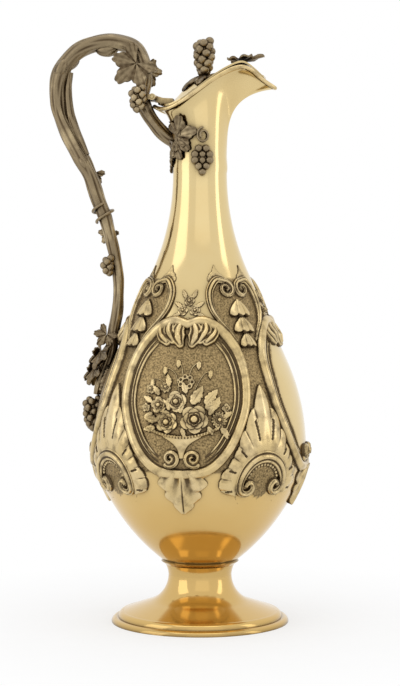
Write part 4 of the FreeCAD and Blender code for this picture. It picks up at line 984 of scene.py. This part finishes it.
vine_piece("burrs", joined([burr(*place) for place in BURRS]), "vessel", "handle_knots")


# Vine leaves and grapes
LEAF_THICKNESS = 0.9
LEAF_TURN = 140
MOUTH_HEIGHT, MOUTH_REACH = 305.0, 23.4
NECK_GAP, LID_GAP = 0.4, 0.2
GRAPE_RADIUS, FINIAL_GRAPE_RADIUS = 2.3, 2.7
GOLDEN_TURN = math.radians(137.5)


def vine_leaf(place, length):
    """A five-lobed toothed leaf with raised veins; place turns (aside, ahead, lift) into a point."""
    degrees = np.linspace(-LEAF_TURN, LEAF_TURN, 141)[:, None]
    part = np.linspace(0.04, 1, 18)[None, :]
    lobe = np.cos(np.radians(3 * degrees)) ** 2
    tooth = 0.07 * np.abs(np.sin(np.radians(12 * degrees)))
    narrowing = 1 - 0.25 * np.abs(degrees) / LEAF_TURN
    reach = length * (0.64 + 0.3 * lobe + tooth) * narrowing * part
    turn = np.radians(degrees) * np.ones_like(part)
    from_vein = np.abs((degrees + 30) % 60 - 30)
    vein = np.exp(-(from_vein * part / 3.5) ** 2)
    small_veins = 0.5 + 0.5 * np.cos(part * 22 - from_vein * 0.22)
    pillow = 0.09 * length * np.sin(np.radians(from_vein) * 6) ** 2 * part
    lift = pillow + 0.5 * vein * (1.1 - part) + 0.1 * small_veins * part
    aside, ahead = reach * np.sin(turn), reach * np.cos(turn)
    top = place(aside, ahead, lift + LEAF_THICKNESS)
    under = place(aside, ahead, lift * 0.6)
    rows, columns = aside.shape
    grid = np.arange(rows * columns).reshape(rows, columns)
    quads = sheet_faces(rows, columns)[:, OTHER_WAY]
    rim = np.concatenate([grid[:, 0], grid[-1, 1:], grid[-2::-1, -1], grid[0, -2:0:-1]])
    after = np.roll(rim, -1)
    count = rows * columns
    walls = np.stack([after, rim, rim + count, after + count], axis=1)
    points = np.concatenate([top.reshape(-1, 3), under.reshape(-1, 3)])
    shade = np.clip(0.55 - vein * 0.6 - pillow / length * 5 + 0.25 * small_veins, 0, 0.8)
    return points, np.concatenate([quads, quads[:, ::-1] + count, walls]), np.tile(shade.ravel(), 2)


def free_leaf(base, heading, facing, length, curl):
    """A leaf that stands out from its stalk and bends along its length."""
    heading = np.array(heading, float) / np.linalg.norm(heading)
    facing = np.array(facing, float)
    facing -= heading * (facing @ heading)
    facing /= np.linalg.norm(facing)
    side = np.cross(facing, heading)

    def place(aside, ahead, lift):
        bend = lift + curl * (aside ** 2 + ahead ** 2) / length
        return base + aside[..., None] * side + ahead[..., None] * heading + bend[..., None] * facing

    return vine_leaf(place, length)


def headed(aside, ahead, heading):
    """A leaf's own directions turned to its heading."""
    way = math.radians(heading)
    across = ahead * math.cos(way) - aside * math.sin(way)
    return across, ahead * math.sin(way) + aside * math.cos(way)


def neck_leaf(degrees, height, heading, length):
    """A leaf laid round the neck."""

    def place(aside, ahead, lift):
        across, up = headed(aside, ahead, heading)
        z = height + up
        share = np.clip((z - SEAM_HEIGHT) / (MOUTH_HEIGHT - SEAM_HEIGHT), 0, 1)
        rise = 1 - (1 - share) ** (1 / 1.5)
        reach = NECK_RADIUS + (MOUTH_REACH - NECK_RADIUS) * rise ** 3.7 + NECK_GAP + lift
        turn = math.radians(degrees) + across / (NECK_RADIUS + 1.5)
        return np.stack([reach * np.cos(turn), reach * np.sin(turn), z], axis=-1)

    return vine_leaf(place, length)


def lid_leaf(centre, heading, length):
    """A leaf laid on the lid, whose height is felt from above."""
    mesh = NODES["lid_cover"].data
    tree = BVHTree.FromPolygons([v.co for v in mesh.vertices], [p.vertices for p in mesh.polygons])
    above = cad_box[1].z + 10 * MM

    def place(aside, ahead, lift):
        across, up = headed(aside, ahead, heading)
        x, y = centre[0] + across, centre[1] + up
        heights = np.full(x.shape, np.nan)
        for index in np.ndindex(x.shape):
            start = Vector((x[index] * MM, y[index] * MM, above))
            hit = tree.ray_cast(start, Vector((0, 0, -1)))[0]
            heights[index] = hit.z / MM if hit else np.nan
        heights = np.where(np.isnan(heights), np.nanmean(heights), heights)
        return np.stack([x, y, heights + LID_GAP + lift], axis=-1)

    return vine_leaf(place, length)


def ball(centre, radius, spin):
    """A grape: a ball with a small point where its flower was."""
    turns = np.linspace(0, 2 * math.pi, 20, endpoint=False)[None, :]
    tilts = np.linspace(0, math.pi, 13)[:, None]
    reach = radius * (1 + 0.12 * np.exp(-(tilts / 0.22) ** 2) - 0.03 * np.sin(tilts * 2))
    points = np.stack([
        reach * np.sin(tilts) * np.cos(turns + spin), reach * np.sin(tilts) * np.sin(turns + spin),
        -reach * np.cos(tilts) * np.ones_like(turns),
    ], axis=-1)
    tip = 0.5 * math.sin(spin * 3)
    tilt = np.array([[1, 0, 0], [0, math.cos(tip), -math.sin(tip)], [0, math.sin(tip), math.cos(tip)]])
    points = points @ tilt + centre
    quads = ring_faces(*points.shape[:2])[:, ::-1]
    return points.reshape(-1, 3), quads, np.zeros(points[..., 0].size)


def grapes(node, radius, count, shift):
    """A bunch that fills the box of its node, narrow at the foot."""
    low, high = box_of(node)
    centre = (low + high) / 2 + np.array(shift)
    tall = high[2] - low[2] - 2 * radius
    wide = (high[1] - low[1]) / 2 - radius
    parts = []
    for k in range(count):
        down = (k + 0.5) / count
        reach = wide * math.sqrt(max(1 - (1.9 * down - 0.75) ** 2 / 1.4, 0.04))
        turn = k * GOLDEN_TURN
        spot = np.array([reach * math.cos(turn), reach * math.sin(turn), tall * (0.5 - down)])
        parts.append(ball(centre + spot, radius * (1 + 0.08 * math.sin(5 * k)), k))
    half_core = np.array([0, 0, tall * 0.45])
    core_line = np.linspace(centre + half_core, centre - half_core, 8) + [0.01, 0, 0]
    core = tube(core_line, np.full(8, 0.75 * wide), 20)
    return joined(parts + [core])


front_face = -BRANCH_RADIUS - 1.2
top_leaf = free_leaf(branch_spot(0.285, 0.925, front_face), (-0.72, -0.05, -0.7), FORWARD, 17.0, 0.1)
vine_piece("top_leaf", top_leaf, "vessel", "handle_top_leaf")
rear_leaf = free_leaf(branch_spot(0.235, 0.91, -front_face), (0.35, 0.25, -0.9), -FORWARD, 11.0, 0.1)
vine_piece("rear_leaf", rear_leaf, "vessel", "handle_rear_leaf")
middle_side, low_side = 0.79 * BRANCH_RADIUS + 0.7, -0.72 * BRANCH_RADIUS - 0.7
vine_piece("side_leaves", joined([
    free_leaf(branch_spot(0.70, 0.58, -front_face), (-0.5, 0.1, -0.86), -FORWARD, 9.0, 0.05),
    free_leaf(branch_spot(0.56, 0.385, middle_side), (-0.55, 0.1, -0.83), -FORWARD, 8.0, 0.05),
    free_leaf(branch_spot(0.55, 0.055, low_side), (-0.6, -0.1, -0.8), FORWARD, 9.0, 0.05),
]), "vessel", "handle_side_leaves")
# Leaves on the neck as (degrees, height, heading, length)
NECK_LEAVES = [
    (-130, 289.5, 12, 14.0), (130, 289.5, 168, 14.0), (180, 276.0, -90, 8.0),
    (-138, 285.5, -62, 11.5), (138, 285.5, -118, 11.5), (-158, 282.0, -95, 9.0),
]
vine_piece("neck_foliage", joined([neck_leaf(*place) for place in NECK_LEAVES]), "vessel", "neck_leaves")
for node, radius, count, shift, body in (
    ("handle_top_grapes", GRAPE_RADIUS, 16, (3.5, -3.0, 0.0), "vessel"),
    ("handle_mid_grapes", GRAPE_RADIUS, 9, (0.0, 0.0, 0.0), "vessel"),
    ("handle_foot_grapes", GRAPE_RADIUS, 24, (0.0, 0.0, 0.0), "vessel"),
    ("finial_grapes", FINIAL_GRAPE_RADIUS, 26, (0.0, 0.0, -3.5), "lid"),
):
    vine_piece(f"{node}_bunch", grapes(node, radius, count, shift), body, node)


# Grapes on each side of the neck, in rows from the top
BUNCH_ROWS = (2, 3, 3, 2, 1)
BUNCH_TURN, BUNCH_HEIGHT = 76, 281.5


def neck_bunch(degrees):
    """Grapes laid in rows on the neck."""
    parts = []
    reach = NECK_RADIUS + 0.5 * GRAPE_RADIUS
    for row, count in enumerate(BUNCH_ROWS):
        height = BUNCH_HEIGHT - 1.5 * GRAPE_RADIUS * row
        for k in range(count):
            turn = math.radians(degrees) + (k - (count - 1) / 2) * 1.75 * GRAPE_RADIUS / NECK_RADIUS
            spot = np.array([reach * math.cos(turn), reach * math.sin(turn), height])
            parts.append(ball(spot, GRAPE_RADIUS * (1 + 0.08 * math.sin(3 * k + row)), 3 * row + k))
    return parts


vine_piece("neck_bunches", joined(neck_bunch(-BUNCH_TURN) + neck_bunch(BUNCH_TURN)), "vessel", "neck_grapes")
finial_low, finial_high = box_of("finial_stem")
vine_piece("lid_foliage", lid_leaf((finial_low + finial_high) / 2, 205, 14.0), "lid", "lid_leaf")
spout_low, spout_high = box_of("spout_leaf")
spout_middle = (spout_low + spout_high) / 2
spout_base = np.array([spout_middle[0] - 3.0, 0.0, spout_middle[2] - 1.5])
spout_shape = free_leaf(spout_base, (0.97, 0, 0.1), (0, 0, 1), 15.0, 0.08)
vine_piece("spout_foliage", spout_shape, "lid", "spout_leaf")

# Free leaves round the handle's lower end as (out, height, side, length)
FOOT_LEAVES = [(-59.5, 160, -3.2, 12), (-60, 159, 3.2, 12), (-63.5, 150, -3.0, 11), (-64, 149, 3.0, 11)]


def foot_leaf_height(X, Z):
    """Leaves that run down the bowl from the handle's end."""
    shapes = [leaf(X, Z, (0, 153.0), -90, 19, 5.5, 3.4, teeth=4)]
    for side in (-1, 1):
        shapes.append(leaf(X, Z, (side * 2, 152.0), -90 + side * 34, 13, 4.0, 2.8, teeth=3))
    return highest(X, shapes)


foot_leaves = [placed(relief_geometry(15, 130, 156, foot_leaf_height, FINE), QUARTERS["handle"])]
for out, height, side, length in FOOT_LEAVES:
    heading, facing = (-0.3, 0.15 * side, -0.9), (-0.8, 0.22 * side, 0.3)
    foot_leaves.append(free_leaf(np.array([out, side, height]), heading, facing, length, -0.06))
vine_piece("foot_leaf", joined(foot_leaves), "vessel", "handle_foot_leaf")


# Nodes that keep their own shape
def dress(names, material):
    for name in names:
        NODES[name].data.materials.clear()
        NODES[name].data.materials.append(material)


dress((
    "neck_and_spout", "foot_pedestal", "lid_cover", "hinge_pin", "lid_flange", "finial_stem", "finial_nut",
    "foot_collar", "foot_moulding",
), gilt)
dress(("mouth_moulding", "lid_hinge_leaf", "hinge_bracket"), relief_gilt)
dress(("handle_tendril", "neck_tendrils"), vine_gilt)


# Camera and studio
VIEW_AZIMUTH = math.radians(9.5)
VIEW_DISTANCE = 1030.0
VIEW_HEIGHT = 197.0
FOCAL_LENGTH = 90.05
SENSOR_WIDTH = 36.0
SHIFT = -0.0748
# Soft lamps as (name, place, width, height, power) in metres and watts
SOFTBOXES = [
    ("left_box", (-1.15, -0.8, 0.55), 0.9, 1.4, 3.0),
    ("front_box", (0.5, -1.55, 0.6), 1.5, 1.4, 1.0),
    ("right_box", (1.3, -0.1, 0.45), 0.35, 1.3, 1.4),
    ("top_box", (0.0, -0.2, 1.3), 1.0, 0.8, 1.8),
]
LAMP_TARGET = (0.0, 0.0, 0.17)
FLOOR_HALF = 3.0
# The floor's shadow shows up to the first distance and is lost in white at the second
SHADOW_NEAR, SHADOW_FAR = 0.05, 0.22
WHITE = (1.0, 1.0, 1.0, 1.0)
ROOM = (0.8, 0.8, 0.8, 1.0)

camera_data = bpy.data.cameras.new("camera")
camera_data.lens = FOCAL_LENGTH
camera_data.sensor_width = SENSOR_WIDTH
camera_data.shift_y = SHIFT
camera = bpy.data.objects.new("camera", camera_data)
camera.location = Vector((
    VIEW_DISTANCE * math.sin(VIEW_AZIMUTH), -VIEW_DISTANCE * math.cos(VIEW_AZIMUTH), VIEW_HEIGHT,
)) * MM
camera.rotation_euler = (math.radians(90), 0, VIEW_AZIMUTH)
bpy.context.scene.collection.objects.link(camera)
bpy.context.scene.camera = camera


def softbox(name, place, width, height, power):
    light = bpy.data.lights.new(name, "AREA")
    light.shape = "RECTANGLE"
    light.size, light.size_y = width, height
    light.energy = power
    lamp = bpy.data.objects.new(name, light)
    lamp.location = place
    lamp.rotation_euler = (Vector(LAMP_TARGET) - Vector(place)).to_track_quat("-Z", "Y").to_euler()
    bpy.context.scene.collection.objects.link(lamp)


for lamp_values in SOFTBOXES:
    softbox(*lamp_values)


def background_rays(tree):
    """One for the rays that see the white background: from the camera, off metal and through glass."""
    rays = tree.nodes.new("ShaderNodeLightPath")
    seen = math_node(tree, "MAXIMUM", rays.outputs["Is Camera Ray"], rays.outputs["Is Glossy Ray"])
    return math_node(tree, "MAXIMUM", seen, rays.outputs["Is Transmission Ray"])


def mix_shaders(tree, share, one, two, output):
    """Sends a mix of two shaders to the named output node."""
    node = tree.nodes.new("ShaderNodeMixShader")
    for socket, source in zip(node.inputs, (share, one, two)):
        link(tree, source, socket)
    link(tree, node.outputs["Shader"], tree.nodes[output].inputs["Surface"])


def make_floor():
    """Pale paper that keeps the shadow near the foot and runs into the white background."""
    corners = np.array([(-1, -1, 0), (1, -1, 0), (1, 1, 0), (-1, 1, 0)]) * FLOOR_HALF / MM
    floor = new_object("floor", corners, [[0, 1, 2, 3]])
    material, tree, shader = nodes_of("floor_paper", 0.0)
    paper = mix(tree, ramp(tree, noise(tree, 40.0), 0.3, 0.7), (0.93, 0.93, 0.93), (0.96, 0.96, 0.96))
    link(tree, paper, shader.inputs["Base Color"])
    shader.inputs["Roughness"].default_value = 0.9
    coords = tree.nodes.new("ShaderNodeTexCoord")
    reach = tree.nodes.new("ShaderNodeVectorMath")
    reach.operation = "LENGTH"
    link(tree, coords.outputs["Object"], reach.inputs[0])
    white = add(tree, "ShaderNodeEmission", Color=WHITE, Strength=1.0)
    whiteness = ramp(tree, reach.outputs["Value"], SHADOW_NEAR, SHADOW_FAR, 0.6, 1.0)
    share = times(tree, whiteness, background_rays(tree))
    mix_shaders(tree, share, shader.outputs["BSDF"], white.outputs["Emission"], "Material Output")
    floor.data.materials.append(material)


make_floor()


def make_world():
    """White wherever the background is seen, a plain pale room to everything else."""
    world = bpy.data.worlds.new("studio")
    world.use_nodes = True
    tree = world.node_tree
    room = tree.nodes["Background"]
    room.inputs["Color"].default_value = ROOM
    room.inputs["Strength"].default_value = 1.0
    white = add(tree, "ShaderNodeBackground", Color=WHITE, Strength=1.0)
    share = background_rays(tree)
    mix_shaders(tree, share, room.outputs["Background"], white.outputs["Background"], "World Output")
    bpy.context.scene.world = world


make_world()
bpy.context.scene.view_settings.view_transform = "Standard"
